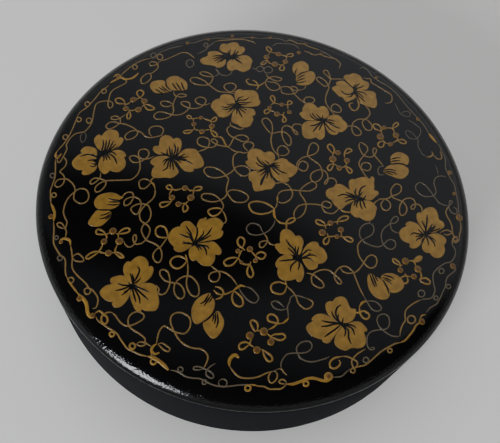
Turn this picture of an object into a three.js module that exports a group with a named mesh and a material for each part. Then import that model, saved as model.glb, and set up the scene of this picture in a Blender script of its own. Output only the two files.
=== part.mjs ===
// A round lacquered trinket box: a low base and a domed lid with a rolled edge that lifts off.
// Millimetres, +Z up. The origin is the middle of the flat underside, so the box stands on z = 0.
//
// Every piece is turned about the Z axis. A profile is a list of points (radius, height) that
// runs anticlockwise: out along the underside, up the outside, and back in over the top.

import * as THREE from 'three';

// Driving dimensions of the base
const BOX_RADIUS = 50;
const WALL_HEIGHT = 21;
const WALL_THICKNESS = 2.6;
const FLOOR_THICKNESS = 3;
const REBATE_DEPTH = 1.1;
const COLLAR_THICKNESS = 1.6;

// Driving dimensions of the lid's edge, from the seat on the wall up to the crown. Angles are in
// degrees: how far round the roll goes, and how steep the crown is where it meets the shoulder.
const LIP_RADIUS = 0.75;
const ROLL_RADIUS = 2.4;
const ROLL_ANGLE = 50;
const SHOULDER_RADIUS = 6;
const CROWN_ANGLE = 3.5;

// Clearances and broken edges
const GLUE_GAP = 0.1;
const LID_PLAY = 0.25;
const COLLAR_HEADROOM = 0.4;
const FOOT_ARRIS = 0.6;
const WALL_ARRIS = 0.4;
const COLLAR_ARRIS = 0.5;

// Facets round the box, and steps along each kind of curve in a profile
const FACETS = 72;
const ARRIS_STEPS = 2;
const LIP_STEPS = 3;
const ROLL_STEPS = 4;
const SHOULDER_STEPS = 5;
const CROWN_STEPS = 5;

// Directions of a profile's normal, as turns from level and outward
const LEVEL = 0;
const UP = Math.PI / 2;
const DOWN = -UP;
const INWARD = Math.PI;

// Places that follow from the sizes above
const wallBore = BOX_RADIUS - WALL_THICKNESS;
const floorRadius = wallBore + REBATE_DEPTH - GLUE_GAP;
const collarRadius = wallBore - GLUE_GAP;
const collarBore = collarRadius - COLLAR_THICKNESS;
const lidBore = collarRadius + LID_PLAY;
const widestHeight = WALL_HEIGHT + LIP_RADIUS;
const rollNormal = THREE.MathUtils.degToRad(ROLL_ANGLE);
const crownNormal = UP - THREE.MathUtils.degToRad(CROWN_ANGLE);

// The point (radius, height) at the given distance from a centre, along a normal.
function along(centre, normal, distance) {
  const radius = centre.x + distance * Math.cos(normal);
  const height = centre.y + distance * Math.sin(normal);
  return new THREE.Vector2(radius, height);
}

// The points of an arc whose outward normal turns evenly from one angle to another.
function arc(centre, radius, fromNormal, toNormal, steps) {
  const points = [];
  for (let step = 0; step <= steps; step++) {
    const share = step / steps;
    points.push(along(centre, THREE.MathUtils.lerp(fromNormal, toNormal, share), radius));
  }
  return points;
}

// The three arcs of the lid's edge above its widest circle share their tangents, so each centre
// lies on the last normal of the arc before it. The crown's centre lies on the axis.
const rollCentre = new THREE.Vector2(BOX_RADIUS - ROLL_RADIUS, widestHeight);
const shoulderCentre = along(rollCentre, rollNormal, ROLL_RADIUS - SHOULDER_RADIUS);
const shoulderEnd = along(shoulderCentre, crownNormal, SHOULDER_RADIUS);
const crownRadius = shoulderEnd.x / Math.cos(crownNormal);
const crownCentre = along(shoulderEnd, crownNormal, -crownRadius);
const seam = along(rollCentre, rollNormal, ROLL_RADIUS);

// A solid turned about Z from a profile. LatheGeometry turns about Y, so it is stood up.
function turned(profile) {
  const geometry = new THREE.LatheGeometry(profile, FACETS);
  geometry.rotateX(Math.PI / 2);
  return geometry;
}

// A closed profile ends on the point where it began.
function closed(points) {
  return [...points, points[0].clone()];
}

function glossLacquer() {
  return new THREE.MeshStandardMaterial({ color: 0x07080a, roughness: 0.12, metalness: 0 });
}

function satinLacquer() {
  return new THREE.MeshStandardMaterial({ color: 0x121213, roughness: 0.45, metalness: 0 });
}

function piece(name, profile, material) {
  const mesh = new THREE.Mesh(turned(profile), material);
  mesh.name = name;
  return mesh;
}

// The floor board, flush with the foot of the wall.
function baseFloor() {
  const profile = [
    new THREE.Vector2(0, 0),
    new THREE.Vector2(floorRadius, 0),
    new THREE.Vector2(floorRadius, FLOOR_THICKNESS),
    new THREE.Vector2(0, FLOOR_THICKNESS),
  ];
  return piece('base_floor', profile, satinLacquer());
}

// The outer hoop. Its foot is rebated for the floor board, and its outside edges are rounded.
function baseWall() {
  const foot = new THREE.Vector2(BOX_RADIUS - FOOT_ARRIS, FOOT_ARRIS);
  const rim = new THREE.Vector2(BOX_RADIUS - WALL_ARRIS, WALL_HEIGHT - WALL_ARRIS);
  const rebateRadius = wallBore + REBATE_DEPTH;
  const profile = closed([
    new THREE.Vector2(rebateRadius, 0),
    ...arc(foot, FOOT_ARRIS, DOWN, LEVEL, ARRIS_STEPS),
    ...arc(rim, WALL_ARRIS, LEVEL, UP, ARRIS_STEPS),
    new THREE.Vector2(wallBore, WALL_HEIGHT),
    new THREE.Vector2(wallBore, FLOOR_THICKNESS),
    new THREE.Vector2(rebateRadius, FLOOR_THICKNESS),
  ]);
  return piece('base_wall', profile, satinLacquer());
}

// The inner hoop. It stands on the floor and rises past the wall into the lid.
function baseCollar() {
  const top = seam.y - COLLAR_HEADROOM;
  const outerEdge = new THREE.Vector2(collarRadius - COLLAR_ARRIS, top - COLLAR_ARRIS);
  const innerEdge = new THREE.Vector2(collarBore + COLLAR_ARRIS, top - COLLAR_ARRIS);
  const profile = closed([
    new THREE.Vector2(collarBore, FLOOR_THICKNESS),
    new THREE.Vector2(collarRadius, FLOOR_THICKNESS),
    ...arc(outerEdge, COLLAR_ARRIS, LEVEL, UP, ARRIS_STEPS),
    ...arc(innerEdge, COLLAR_ARRIS, UP, INWARD, ARRIS_STEPS),
  ]);
  return piece('base_collar', profile, satinLacquer());
}

// The low hoop under the lid board: the lip that sits on the wall, and the roll up to the seam.
function lidHoop() {
  const lipCentre = new THREE.Vector2(BOX_RADIUS - LIP_RADIUS, widestHeight);
  const profile = closed([
    new THREE.Vector2(lidBore, WALL_HEIGHT),
    ...arc(lipCentre, LIP_RADIUS, DOWN, LEVEL, LIP_STEPS),
    ...arc(rollCentre, ROLL_RADIUS, LEVEL, rollNormal, ROLL_STEPS).slice(1),
    new THREE.Vector2(lidBore, seam.y),
  ]);
  return piece('lid_hoop', profile, glossLacquer());
}

// The domed board: flat below, and above it the shoulder and the shallow crown.
function lidBoard() {
  const apex = new THREE.Vector2(0, crownCentre.y + crownRadius);
  const profile = [
    new THREE.Vector2(0, seam.y),
    ...arc(shoulderCentre, SHOULDER_RADIUS, rollNormal, crownNormal, SHOULDER_STEPS),
    ...arc(crownCentre, crownRadius, crownNormal, UP, CROWN_STEPS).slice(1, -1),
    apex,
  ];
  return piece('lid_board', profile, glossLacquer());
}

function base() {
  const group = new THREE.Group();
  group.add(baseFloor(), baseWall(), baseCollar());
  return group;
}

function lid() {
  const group = new THREE.Group();
  group.add(lidHoop(), lidBoard());
  return group;
}

const box = new THREE.Group();
box.add(base(), lid());

export default box;
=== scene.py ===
# The looks of a round trinket box in black lacquer, its lid painted with gold flowers and vines.
# Metres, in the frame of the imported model: +Z up, the origin in the middle of the underside.
# The painting is written as points (across, down) of the 500 x 443 photograph, in half pixels.

import math

import bpy
from mathutils import Matrix, Vector


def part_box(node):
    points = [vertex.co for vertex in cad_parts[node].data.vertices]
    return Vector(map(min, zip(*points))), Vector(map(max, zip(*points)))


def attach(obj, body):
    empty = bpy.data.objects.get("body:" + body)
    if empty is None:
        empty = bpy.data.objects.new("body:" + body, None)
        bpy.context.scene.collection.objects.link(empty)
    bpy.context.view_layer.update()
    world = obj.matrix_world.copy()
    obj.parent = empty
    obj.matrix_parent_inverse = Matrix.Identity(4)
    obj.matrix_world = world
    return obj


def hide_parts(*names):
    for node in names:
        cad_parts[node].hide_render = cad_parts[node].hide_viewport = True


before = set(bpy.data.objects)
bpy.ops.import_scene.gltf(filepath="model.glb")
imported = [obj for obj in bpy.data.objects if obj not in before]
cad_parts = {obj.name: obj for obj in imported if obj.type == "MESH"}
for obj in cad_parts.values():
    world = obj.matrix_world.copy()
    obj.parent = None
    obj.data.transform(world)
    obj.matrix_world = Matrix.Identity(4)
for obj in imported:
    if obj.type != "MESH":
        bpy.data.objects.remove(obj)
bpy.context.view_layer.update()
scene = bpy.context.scene

MM = 0.001

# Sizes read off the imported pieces
floor_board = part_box("base_floor")[1]
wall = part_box("base_wall")[1]
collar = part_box("base_collar")[1]
BOX_RADIUS = wall.x
WALL_HEIGHT = wall.z

# Sizes of the wood
WALL_THICKNESS = 2.6 * MM
REBATE_DEPTH = 1.1 * MM
COLLAR_THICKNESS = 1.6 * MM
LID_PLAY = 0.25 * MM

# The lid's edge: a lip on the wall, a roll, a shoulder, and the shallow crown
LIP_RADIUS = 0.75 * MM
ROLL_RADIUS = 2.4 * MM
ROLL_NORMAL = math.radians(50)
SHOULDER_RADIUS = 6 * MM
CROWN_ANGLE = math.radians(3.5)

# Broken edges, rounder than a machine leaves them
FOOT_ARRIS = 0.6 * MM
WALL_ARRIS = 0.4 * MM
COLLAR_ARRIS = 0.5 * MM
INNER_ARRIS = 0.15 * MM

# Fineness of the turned pieces, and the turn of an edge that stays sharp
FACETS = 256
ARRIS_STEPS = 6
LIP_STEPS = 8
ROLL_STEPS = 16
SHOULDER_STEPS = 24
CROWN_STEPS = 48
CREASE = math.radians(35)
MERGE_DISTANCE = 0.001 * MM

# Directions of a profile's normal, as turns from level and outward
LEVEL = 0
UP = math.pi / 2
DOWN = -UP

# Places that follow from the sizes above
wall_bore = BOX_RADIUS - WALL_THICKNESS
rebate_radius = wall_bore + REBATE_DEPTH
collar_bore = collar.x - COLLAR_THICKNESS
lid_bore = collar.x + LID_PLAY
widest_height = WALL_HEIGHT + LIP_RADIUS
crown_normal = UP - CROWN_ANGLE


def linear(code):
    """A colour written as sRGB hex, as linear red, green, blue and alpha."""
    shares = [int(code[place:place + 2], 16) / 255 for place in (1, 3, 5)]
    return (*(c / 12.92 if c <= 0.04045 else ((c + 0.055) / 1.055) ** 2.4 for c in shares), 1)


def add(tree, kind, inputs, **settings):
    """Adds a node. Each input, by name or number, is a value or the output that feeds it."""
    node = tree.nodes.new(kind)
    for name, value in settings.items():
        setattr(node, name, value)
    for key, value in inputs.items():
        if isinstance(value, bpy.types.NodeSocket):
            tree.links.new(value, node.inputs[key])
        else:
            node.inputs[key].default_value = value
    return node


def new_material(name):
    """An empty material and its shader."""
    material = bpy.data.materials.new(name)
    material.use_nodes = True
    return material, material.node_tree, material.node_tree.nodes["Principled BSDF"]


# Geometry Nodes trees

def new_tree(name, sizes):
    """An empty Geometry Nodes tree with the named inputs, and its input node."""
    tree = bpy.data.node_groups.new(name, "GeometryNodeTree")
    tree.interface.new_socket("Geometry", in_out="INPUT", socket_type="NodeSocketGeometry")
    for label, kind in sizes.items():
        tree.interface.new_socket(label, in_out="INPUT", socket_type=kind)
    tree.interface.new_socket("Geometry", in_out="OUTPUT", socket_type="NodeSocketGeometry")
    return tree, add(tree, "NodeGroupInput", {}).outputs


def finish_tree(tree, geometry, material):
    """Ends a tree: its instances are made real and its faces take the material."""
    real = add(tree, "GeometryNodeRealizeInstances", {0: geometry})
    coated = add(tree, "GeometryNodeSetMaterial", {"Geometry": real.outputs[0], "Material": material})
    add(tree, "NodeGroupOutput", {0: coated.outputs[0]})
    return tree


def creased(tree, geometry, crease):
    """Shades geometry smooth, but for the edges that turn by more than the crease."""
    soft = add(tree, "GeometryNodeSetShadeSmooth", {0: geometry, "Shade Smooth": True})
    angle = add(tree, "GeometryNodeInputMeshEdgeAngle", {})
    sharp = add(tree, "FunctionNodeCompare", {0: angle.outputs[0], 1: crease},
                data_type="FLOAT", operation="GREATER_THAN")
    return add(tree, "GeometryNodeSetShadeSmooth", {
        0: soft.outputs[0],
        "Selection": sharp.outputs[0],
        "Shade Smooth": False,
    }, domain="EDGE").outputs[0]


def turned_tree():
    """Turns a profile, drawn as edges in (radius, height), into a body round the Z axis."""
    tree, given = new_tree("turned", {
        "Guide Radius": "NodeSocketFloat",
        "Facets": "NodeSocketInt",
        "Crease": "NodeSocketFloat",
        "Merge Distance": "NodeSocketFloat",
        "Material": "NodeSocketMaterial",
    })
    profile = add(tree, "GeometryNodeMeshToCurve", {0: given["Geometry"]})
    inset = add(tree, "ShaderNodeMath", {0: given["Guide Radius"], 1: -1}, operation="MULTIPLY")
    shift = add(tree, "ShaderNodeCombineXYZ", {"X": inset.outputs[0]})
    # A section swept round a circle hangs below it, so the profile is turned over first.
    section = add(tree, "GeometryNodeTransform", {
        "Geometry": profile.outputs[0],
        "Translation": shift.outputs[0],
        "Scale": (1, -1, 1),
    })
    guide = add(tree, "GeometryNodeCurvePrimitiveCircle", {
        "Resolution": given["Facets"],
        "Radius": given["Guide Radius"],
    }, mode="RADIUS")
    swept = add(tree, "GeometryNodeCurveToMesh", {
        "Curve": guide.outputs[0],
        "Profile Curve": section.outputs[0],
    })
    closed = add(tree, "GeometryNodeMergeByDistance", {
        "Geometry": swept.outputs[0],
        "Distance": given["Merge Distance"],
    })
    outward = add(tree, "GeometryNodeFlipFaces", {0: closed.outputs[0]})
    return finish_tree(tree, creased(tree, outward.outputs[0], given["Crease"]), given["Material"])


def new_seed(name, paths, closed=False):
    """A mesh of paths drawn as edges, and the number of the path that each vertex lies on."""
    points, edges, owners = [], [], []
    for number, path in enumerate(paths):
        first, count = len(points), len(path)
        points += [(*point.xy, 0) for point in path]
        owners += [number] * count
        links = count if closed else count - 1
        edges += [(first + step, first + (step + 1) % count) for step in range(links)]
    seed = bpy.data.meshes.new(name + "_paths")
    seed.from_pydata(points, edges, [])
    return seed, owners


def grown(name, seed, tree, inputs):
    """The plain mesh object that a Geometry Nodes tree makes of a seed mesh."""
    piece = bpy.data.objects.new(name, seed)
    scene.collection.objects.link(piece)
    modifier = piece.modifiers.new(tree.name, "NODES")
    modifier.node_group = tree
    sockets = {item.name: item.identifier for item in tree.interface.items_tree
               if item.in_out == "INPUT"}
    for label, value in inputs.items():
        modifier[sockets[label]] = value
    evaluated = piece.evaluated_get(bpy.context.evaluated_depsgraph_get())
    mesh = bpy.data.meshes.new_from_object(evaluated)
    piece.modifiers.clear()
    piece.data = mesh
    mesh.name = name
    return piece


# Turned pieces

def along(centre, normal, distance):
    """The point (radius, height) at a distance from a centre, along a normal."""
    return centre + distance * Vector((math.cos(normal), math.sin(normal)))


def arc(centre, radius, start, end, steps):
    """The points of an arc whose outward normal turns evenly from one angle to another."""
    turns = [start + (end - start) * step / steps for step in range(steps + 1)]
    return [along(centre, turn, radius) for turn in turns]


def corner(radius, height, arris, start):
    """A rounded corner of a profile. It turns a quarter, anticlockwise from the start normal."""
    inward = Vector((math.cos(start + UP / 2), math.sin(start + UP / 2))) * math.sqrt(2) * arris
    return arc(Vector((radius, height)) - inward, arris, start, start + UP, ARRIS_STEPS)


TURNED = turned_tree()


def turned(name, profile, material, closed=True):
    """A piece turned about Z. A profile that isn't closed begins and ends on the axis."""
    seed, _ = new_seed(name, [profile], closed)
    return grown(name, seed, TURNED, {
        "Guide Radius": BOX_RADIUS,
        "Facets": FACETS,
        "Crease": CREASE,
        "Merge Distance": MERGE_DISTANCE,
        "Material": material,
    })


# The three arcs of the lid's outside share their tangents, so each centre lies on the last normal
# of the arc before it.
roll_centre = Vector((BOX_RADIUS - ROLL_RADIUS, widest_height))
shoulder_centre = along(roll_centre, ROLL_NORMAL, ROLL_RADIUS - SHOULDER_RADIUS)
shoulder_end = along(shoulder_centre, crown_normal, SHOULDER_RADIUS)
crown_radius = shoulder_end.x / math.cos(crown_normal)
crown_centre = along(shoulder_end, crown_normal, -crown_radius)
seam = along(roll_centre, ROLL_NORMAL, ROLL_RADIUS)


def lid_height(radius):
    """The height of the lid's outside at a distance from the axis."""
    centre, size = crown_centre, crown_radius
    if radius > shoulder_end.x:
        centre, size = shoulder_centre, SHOULDER_RADIUS
    if radius > seam.x:
        centre, size = roll_centre, ROLL_RADIUS
    return centre.y + math.sqrt(max(size ** 2 - (radius - centre.x) ** 2, 0))


def base_floor(material):
    """The floor board, let into the foot of the wall."""
    profile = [
        Vector((0, 0)),
        *corner(floor_board.x, 0, INNER_ARRIS, DOWN),
        *corner(floor_board.x, floor_board.z, INNER_ARRIS, LEVEL),
        Vector((0, floor_board.z)),
    ]
    return turned("floor_board", profile, material, closed=False)


def base_wall(material):
    """The outer hoop, rebated for the floor board."""
    profile = [
        Vector((rebate_radius, 0)),
        *corner(BOX_RADIUS, 0, FOOT_ARRIS, DOWN),
        *corner(BOX_RADIUS, WALL_HEIGHT, WALL_ARRIS, LEVEL),
        *corner(wall_bore, WALL_HEIGHT, INNER_ARRIS, UP),
        Vector((wall_bore, floor_board.z)),
        Vector((rebate_radius, floor_board.z)),
    ]
    return turned("wall_hoop", profile, material)


def base_collar(material):
    """The inner hoop, which the lid slips over."""
    profile = [
        Vector((collar_bore, floor_board.z)),
        Vector((collar.x, floor_board.z)),
        *corner(collar.x, collar.z, COLLAR_ARRIS, LEVEL),
        *corner(collar_bore, collar.z, COLLAR_ARRIS, UP),
    ]
    return turned("collar_hoop", profile, material)


def lid_hoop(material):
    """The low hoop under the lid board: the lip, and the roll up to the seam."""
    lip_centre = Vector((BOX_RADIUS - LIP_RADIUS, widest_height))
    profile = [
        Vector((lid_bore, WALL_HEIGHT)),
        *arc(lip_centre, LIP_RADIUS, DOWN, LEVEL, LIP_STEPS),
        *arc(roll_centre, ROLL_RADIUS, LEVEL, ROLL_NORMAL, ROLL_STEPS)[1:],
        Vector((lid_bore, seam.y)),
    ]
    return turned("lid_edge_hoop", profile, material)


def lid_board(material):
    """The domed board: flat below, with the shoulder and the crown above."""
    profile = [
        Vector((0, seam.y)),
        *arc(shoulder_centre, SHOULDER_RADIUS, ROLL_NORMAL, crown_normal, SHOULDER_STEPS),
        *arc(crown_centre, crown_radius, crown_normal, UP, CROWN_STEPS)[1:-1],
        Vector((0, crown_centre.y + crown_radius)),
    ]
    return turned("lid_top", profile, material, closed=False)


# Camera: where the photograph was taken from, and how it maps a point of itself onto the lid

HALF_PIXEL = 0.5
PHOTO_CENTRE = Vector((250, 221.5))
PHOTO_WIDTH = 500
PHOTO_LENS = 643
CAMERA_PLACE = Vector((0, -76.3, 151.13)) * MM
CAMERA_AIM = Vector((-0.44, -7.65, 21.75)) * MM
CAMERA_ROLL = math.radians(9.344)
LANDING_ROUNDS = 30

view = (CAMERA_AIM - CAMERA_PLACE).to_track_quat("-Z", "Y").to_matrix()
view = view @ Matrix.Rotation(CAMERA_ROLL, 3, "Z")


def on_lid(spot):
    """The point of the lid's outside that the photograph shows at a spot, given in half pixels."""
    across, down = Vector(spot) * HALF_PIXEL - PHOTO_CENTRE
    ray = view @ Vector((across, -down, -PHOTO_LENS))
    height = crown_centre.y + crown_radius
    for _ in range(LANDING_ROUNDS):
        point = CAMERA_PLACE + ray * ((height - CAMERA_PLACE.z) / ray.z)
        height = lid_height(min(point.xy.length, BOX_RADIUS))
    return point


def photo_camera():
    """The camera at the photograph's place, with the photograph's lens."""
    data = bpy.data.cameras.new("photo_camera")
    data.lens = data.sensor_width * PHOTO_LENS / PHOTO_WIDTH
    data.clip_start = 1 * MM
    camera = bpy.data.objects.new("photo_camera", data)
    camera.matrix_world = Matrix.Translation(CAMERA_PLACE) @ view.to_4x4()
    scene.collection.objects.link(camera)
    scene.camera = camera


# Stage: a pale table in a soft grey room, lit by a window and a wide lamp overhead

TABLE_COLOUR = "#DEDCD8"
TABLE_ROUGHNESS = 0.9
TABLE_SHINE = 0.04
TABLE_RADIUS = 1.2
SWEEP_RADIUS = 0.6
SWEEP_STEPS = 12
ROOM_STRENGTH = 1.1
ROOM_COLOUR = "#85878A"
SHADE_COLOUR = "#3A3630"

# The dark near half of the room
NEAR_DIRECTION = Vector((0, -1, 0))
NEAR_EDGE = -0.23
NEAR_CORE = -0.07

# The dark beam of the ceiling: where it lies, and how narrow it is across and along
BEAM_DIRECTION = Vector((-0.2, 0.39, 0.899)).normalized()
BEAM_SCALE = Vector((2.8, 9.5, 0))
BEAM_EDGE = 1.35
BEAM_CORE = 0.6

# The bright patch behind the box
SKY_COLOUR = "#F0F2F6"
SKY_DIRECTION = Vector((0.34, 0.93, 0.17)).normalized()
SKY_EDGE = 0.25
SKY_CORE = 0.85

DAYLIGHT_COLOUR = "#F6FAFF"


def table():
    """A plain table in pale matt paint, whose far edges sweep up all round."""
    sweep_centre = Vector((TABLE_RADIUS, SWEEP_RADIUS))
    profile = [
        Vector((0, 0)),
        *reversed(arc(sweep_centre, SWEEP_RADIUS, LEVEL, DOWN, SWEEP_STEPS)),
    ]
    paint, _, shader = new_material("matt_table")
    shader.inputs["Base Color"].default_value = linear(TABLE_COLOUR)
    shader.inputs["Roughness"].default_value = TABLE_ROUGHNESS
    shader.inputs["Specular IOR Level"].default_value = TABLE_SHINE
    floor = turned("table", profile, paint, closed=False)
    floor.data.flip_normals()


def patch(tree, direction, centre, edge, core):
    """How far a direction lies inside a round soft patch of the room, from 0 to 1."""
    facing = add(tree, "ShaderNodeVectorMath", {0: direction, 1: centre}, operation="DOT_PRODUCT")
    return add(tree, "ShaderNodeMapRange", {
        "Value": facing.outputs["Value"],
        "From Min": edge,
        "From Max": core,
    }, interpolation_type="SMOOTHSTEP").outputs[0]


def beam(tree, direction):
    """How far a direction lies inside a long dark beam of the ceiling, from 0 to 1."""
    offset = add(tree, "ShaderNodeVectorMath", {0: direction, 1: BEAM_DIRECTION}, operation="SUBTRACT")
    reach = add(tree, "ShaderNodeVectorMath", {0: offset.outputs[0], 1: BEAM_SCALE}, operation="MULTIPLY")
    distance = add(tree, "ShaderNodeVectorMath", {0: reach.outputs[0]}, operation="LENGTH")
    return add(tree, "ShaderNodeMapRange", {
        "Value": distance.outputs["Value"],
        "From Min": BEAM_EDGE,
        "From Max": BEAM_CORE,
    }, interpolation_type="SMOOTHSTEP").outputs[0]


def room():
    """A grey room that the lid mirrors as a soft veil, brighter behind the box to the right. A dark
    beam overhead and the dark near half leave the lid's left and its near edge black."""
    world = bpy.data.worlds.new("room")
    scene.world = world
    world.use_nodes = True
    tree = world.node_tree
    direction = add(tree, "ShaderNodeTexCoord", {}).outputs["Generated"]
    walls = add(tree, "ShaderNodeMix", {
        "Factor": patch(tree, direction, SKY_DIRECTION, SKY_EDGE, SKY_CORE),
        "A": linear(ROOM_COLOUR),
        "B": linear(SKY_COLOUR),
    }, data_type="RGBA")
    shade = add(tree, "ShaderNodeMath", {
        0: patch(tree, direction, NEAR_DIRECTION, NEAR_EDGE, NEAR_CORE),
        1: beam(tree, direction),
    }, operation="MAXIMUM")
    colour = add(tree, "ShaderNodeMix", {
        "Factor": shade.outputs[0],
        "A": walls.outputs["Result"],
        "B": linear(SHADE_COLOUR),
    }, data_type="RGBA")
    background = tree.nodes["Background"]
    background.inputs["Strength"].default_value = ROOM_STRENGTH
    tree.links.new(colour.outputs["Result"], background.inputs["Color"])


def lamp(name, azimuth, elevation, distance, width, height, power, colour, mirrored=True):
    """A wide soft lamp that faces the box. Azimuth turns from +X towards +Y. The lacquer shows its
    reflection only where it is mirrored."""
    data = bpy.data.lights.new(name, "AREA")
    data.shape = "RECTANGLE"
    data.size = width
    data.size_y = height
    data.energy = power
    data.color = linear(colour)[:3]
    level = math.cos(math.radians(elevation))
    turn = math.radians(azimuth)
    away = Vector((level * math.cos(turn), level * math.sin(turn), math.sin(math.radians(elevation))))
    light = bpy.data.objects.new(name, data)
    facing = away.to_track_quat("Z", "Y").to_matrix().to_4x4()
    light.matrix_world = Matrix.Translation(away * distance) @ facing
    light.visible_glossy = mirrored
    scene.collection.objects.link(light)


# Lacquers and paint. A shine is how strongly a surface mirrors what it faces.

# Polished black. Hands have broken its gloss into grains near the edge and rubbed the rim dull.
# The real grains are too fine to show, so they are drawn coarser.
POLISHED_COLOUR = "#060607"
POLISHED_ROUGHNESS = 0.08
POLISHED_SHINE = 0.25
RUBBED_SHINE = 0.03
GRAIN_SIZE = 0.5 * MM
GRAIN_DEPTH = 0.08 * MM
POLISHED_GRAIN = 0.02
HANDLED_GRAIN = 1
POLISH_FADE_START = 46 * MM
POLISH_FADE_END = 49 * MM
RUBBED_START = 49.3 * MM
RUBBED_END = 49.8 * MM

# Satin black. Its real tooth is too fine to show, so it is drawn coarser.
SATIN_DARK = "#0B0B0D"
SATIN_PALE = "#151518"
SATIN_ROUGHNESS = 0.6
SATIN_SHINE = 0.01
TOOTH_SIZE = 0.4 * MM
TOOTH_DEPTH = 0.03 * MM
TOOTH_STRENGTH = 0.1

# Gold paint. Its colour drifts in soft clouds, and the hairs of the brush leave marks in it.
GOLD_DARK = "#594014"
GOLD_PALE = "#96732D"
GOLD_THICK = "#4A3014"
GOLD_WORN = "#484237"
GOLD_METAL = 0.3
GOLD_ROUGHNESS = 0.5
GOLD_SHINE = 0.25
VARNISH_SHARE = 0.5
VARNISH_ROUGHNESS = 0.1
CLOUD_SIZE = 1.6 * MM
BRUSH_MARK_SIZE = 0.3 * MM
BRUSH_MARK_DEPTH = 0.02 * MM
BRUSH_MARK_STRENGTH = 0.25


def polished_lacquer():
    """Black lacquer on wood, rubbed down and polished: near black, with a mirror gloss that breaks
    into grains at the handled edge and goes dull on the rim."""
    material, tree, shader = new_material("black_lacquer_polished")
    place = add(tree, "ShaderNodeTexCoord", {}).outputs["Object"]
    shader.inputs["Base Color"].default_value = linear(POLISHED_COLOUR)
    shader.inputs["Roughness"].default_value = POLISHED_ROUGHNESS
    flat = add(tree, "ShaderNodeVectorMath", {0: place, 1: (1, 1, 0)}, operation="MULTIPLY")
    reach = add(tree, "ShaderNodeVectorMath", {0: flat.outputs[0]}, operation="LENGTH")
    handled = add(tree, "ShaderNodeMapRange", {
        "Value": reach.outputs["Value"],
        "From Min": POLISH_FADE_START,
        "From Max": POLISH_FADE_END,
        "To Min": POLISHED_GRAIN,
        "To Max": HANDLED_GRAIN,
    })
    rubbed = add(tree, "ShaderNodeMapRange", {
        "Value": reach.outputs["Value"],
        "From Min": RUBBED_START,
        "From Max": RUBBED_END,
        "To Min": POLISHED_SHINE,
        "To Max": RUBBED_SHINE,
    })
    tree.links.new(rubbed.outputs[0], shader.inputs["Specular IOR Level"])
    grain = add(tree, "ShaderNodeTexNoise", {"Vector": place, "Scale": 1 / GRAIN_SIZE, "Detail": 2})
    bump = add(tree, "ShaderNodeBump", {
        "Strength": handled.outputs[0],
        "Distance": GRAIN_DEPTH,
        "Height": grain.outputs["Fac"],
    })
    tree.links.new(bump.outputs[0], shader.inputs["Normal"])
    return material


def satin_lacquer():
    """Black lacquer left as brushed: an even charcoal black, close to matt, with a fine tooth."""
    material, tree, shader = new_material("black_lacquer_satin")
    place = add(tree, "ShaderNodeTexCoord", {}).outputs["Object"]
    tone = add(tree, "ShaderNodeTexNoise", {"Vector": place, "Scale": 1 / TOOTH_SIZE, "Detail": 4})
    colour = add(tree, "ShaderNodeMix", {
        "Factor": tone.outputs["Fac"],
        "A": linear(SATIN_DARK),
        "B": linear(SATIN_PALE),
    }, data_type="RGBA")
    bump = add(tree, "ShaderNodeBump", {
        "Strength": TOOTH_STRENGTH,
        "Distance": TOOTH_DEPTH,
        "Height": tone.outputs["Fac"],
    })
    tree.links.new(colour.outputs["Result"], shader.inputs["Base Color"])
    tree.links.new(bump.outputs[0], shader.inputs["Normal"])
    shader.inputs["Roughness"].default_value = SATIN_ROUGHNESS
    shader.inputs["Specular IOR Level"].default_value = SATIN_SHINE
    return material


def gold_paint():
    """Gold paint laid on by brush under a thin varnish: ochre gold with a soft metal sheen, darker
    in the middle of a thick drop and grey brown where it has worn thin."""
    material, tree, shader = new_material("gold_paint_brushed")
    place = add(tree, "ShaderNodeTexCoord", {}).outputs["Object"]
    fade = add(tree, "ShaderNodeAttribute", {}, attribute_name="fade")
    core = add(tree, "ShaderNodeAttribute", {}, attribute_name="core")
    cloud = add(tree, "ShaderNodeTexNoise", {"Vector": place, "Scale": 1 / CLOUD_SIZE, "Detail": 3})
    body = add(tree, "ShaderNodeMix", {
        "Factor": cloud.outputs["Fac"],
        "A": linear(GOLD_DARK),
        "B": linear(GOLD_PALE),
    }, data_type="RGBA")
    thick = add(tree, "ShaderNodeMix", {
        "Factor": core.outputs["Fac"],
        "A": body.outputs["Result"],
        "B": linear(GOLD_THICK),
    }, data_type="RGBA")
    worn = add(tree, "ShaderNodeMix", {
        "Factor": fade.outputs["Fac"],
        "A": thick.outputs["Result"],
        "B": linear(GOLD_WORN),
    }, data_type="RGBA")
    brush = add(tree, "ShaderNodeTexNoise", {"Vector": place, "Scale": 1 / BRUSH_MARK_SIZE, "Detail": 3})
    bump = add(tree, "ShaderNodeBump", {
        "Strength": BRUSH_MARK_STRENGTH,
        "Distance": BRUSH_MARK_DEPTH,
        "Height": brush.outputs["Fac"],
    })
    tree.links.new(worn.outputs["Result"], shader.inputs["Base Color"])
    tree.links.new(bump.outputs[0], shader.inputs["Normal"])
    shader.inputs["Metallic"].default_value = GOLD_METAL
    shader.inputs["Roughness"].default_value = GOLD_ROUGHNESS
    shader.inputs["Specular IOR Level"].default_value = GOLD_SHINE
    shader.inputs["Coat Weight"].default_value = VARNISH_SHARE
    shader.inputs["Coat Roughness"].default_value = VARNISH_ROUGHNESS
    return material


# Gold decoration. Its spots are half pixels of the photograph, laid on the lid by on_lid.

# Brushes: the width of the stroke, and how worn its gold is, from 0 to 1
THICK = (0.78 * MM, 0)
BOLD = (0.6 * MM, 0)
BRIGHT = (0.43 * MM, 0.15)
PLAIN = (0.34 * MM, 0.4)
WORN = (0.3 * MM, 0.9)
FAINT = (0.22 * MM, 1)
RIM = (0.3 * MM, 0.25)

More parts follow.
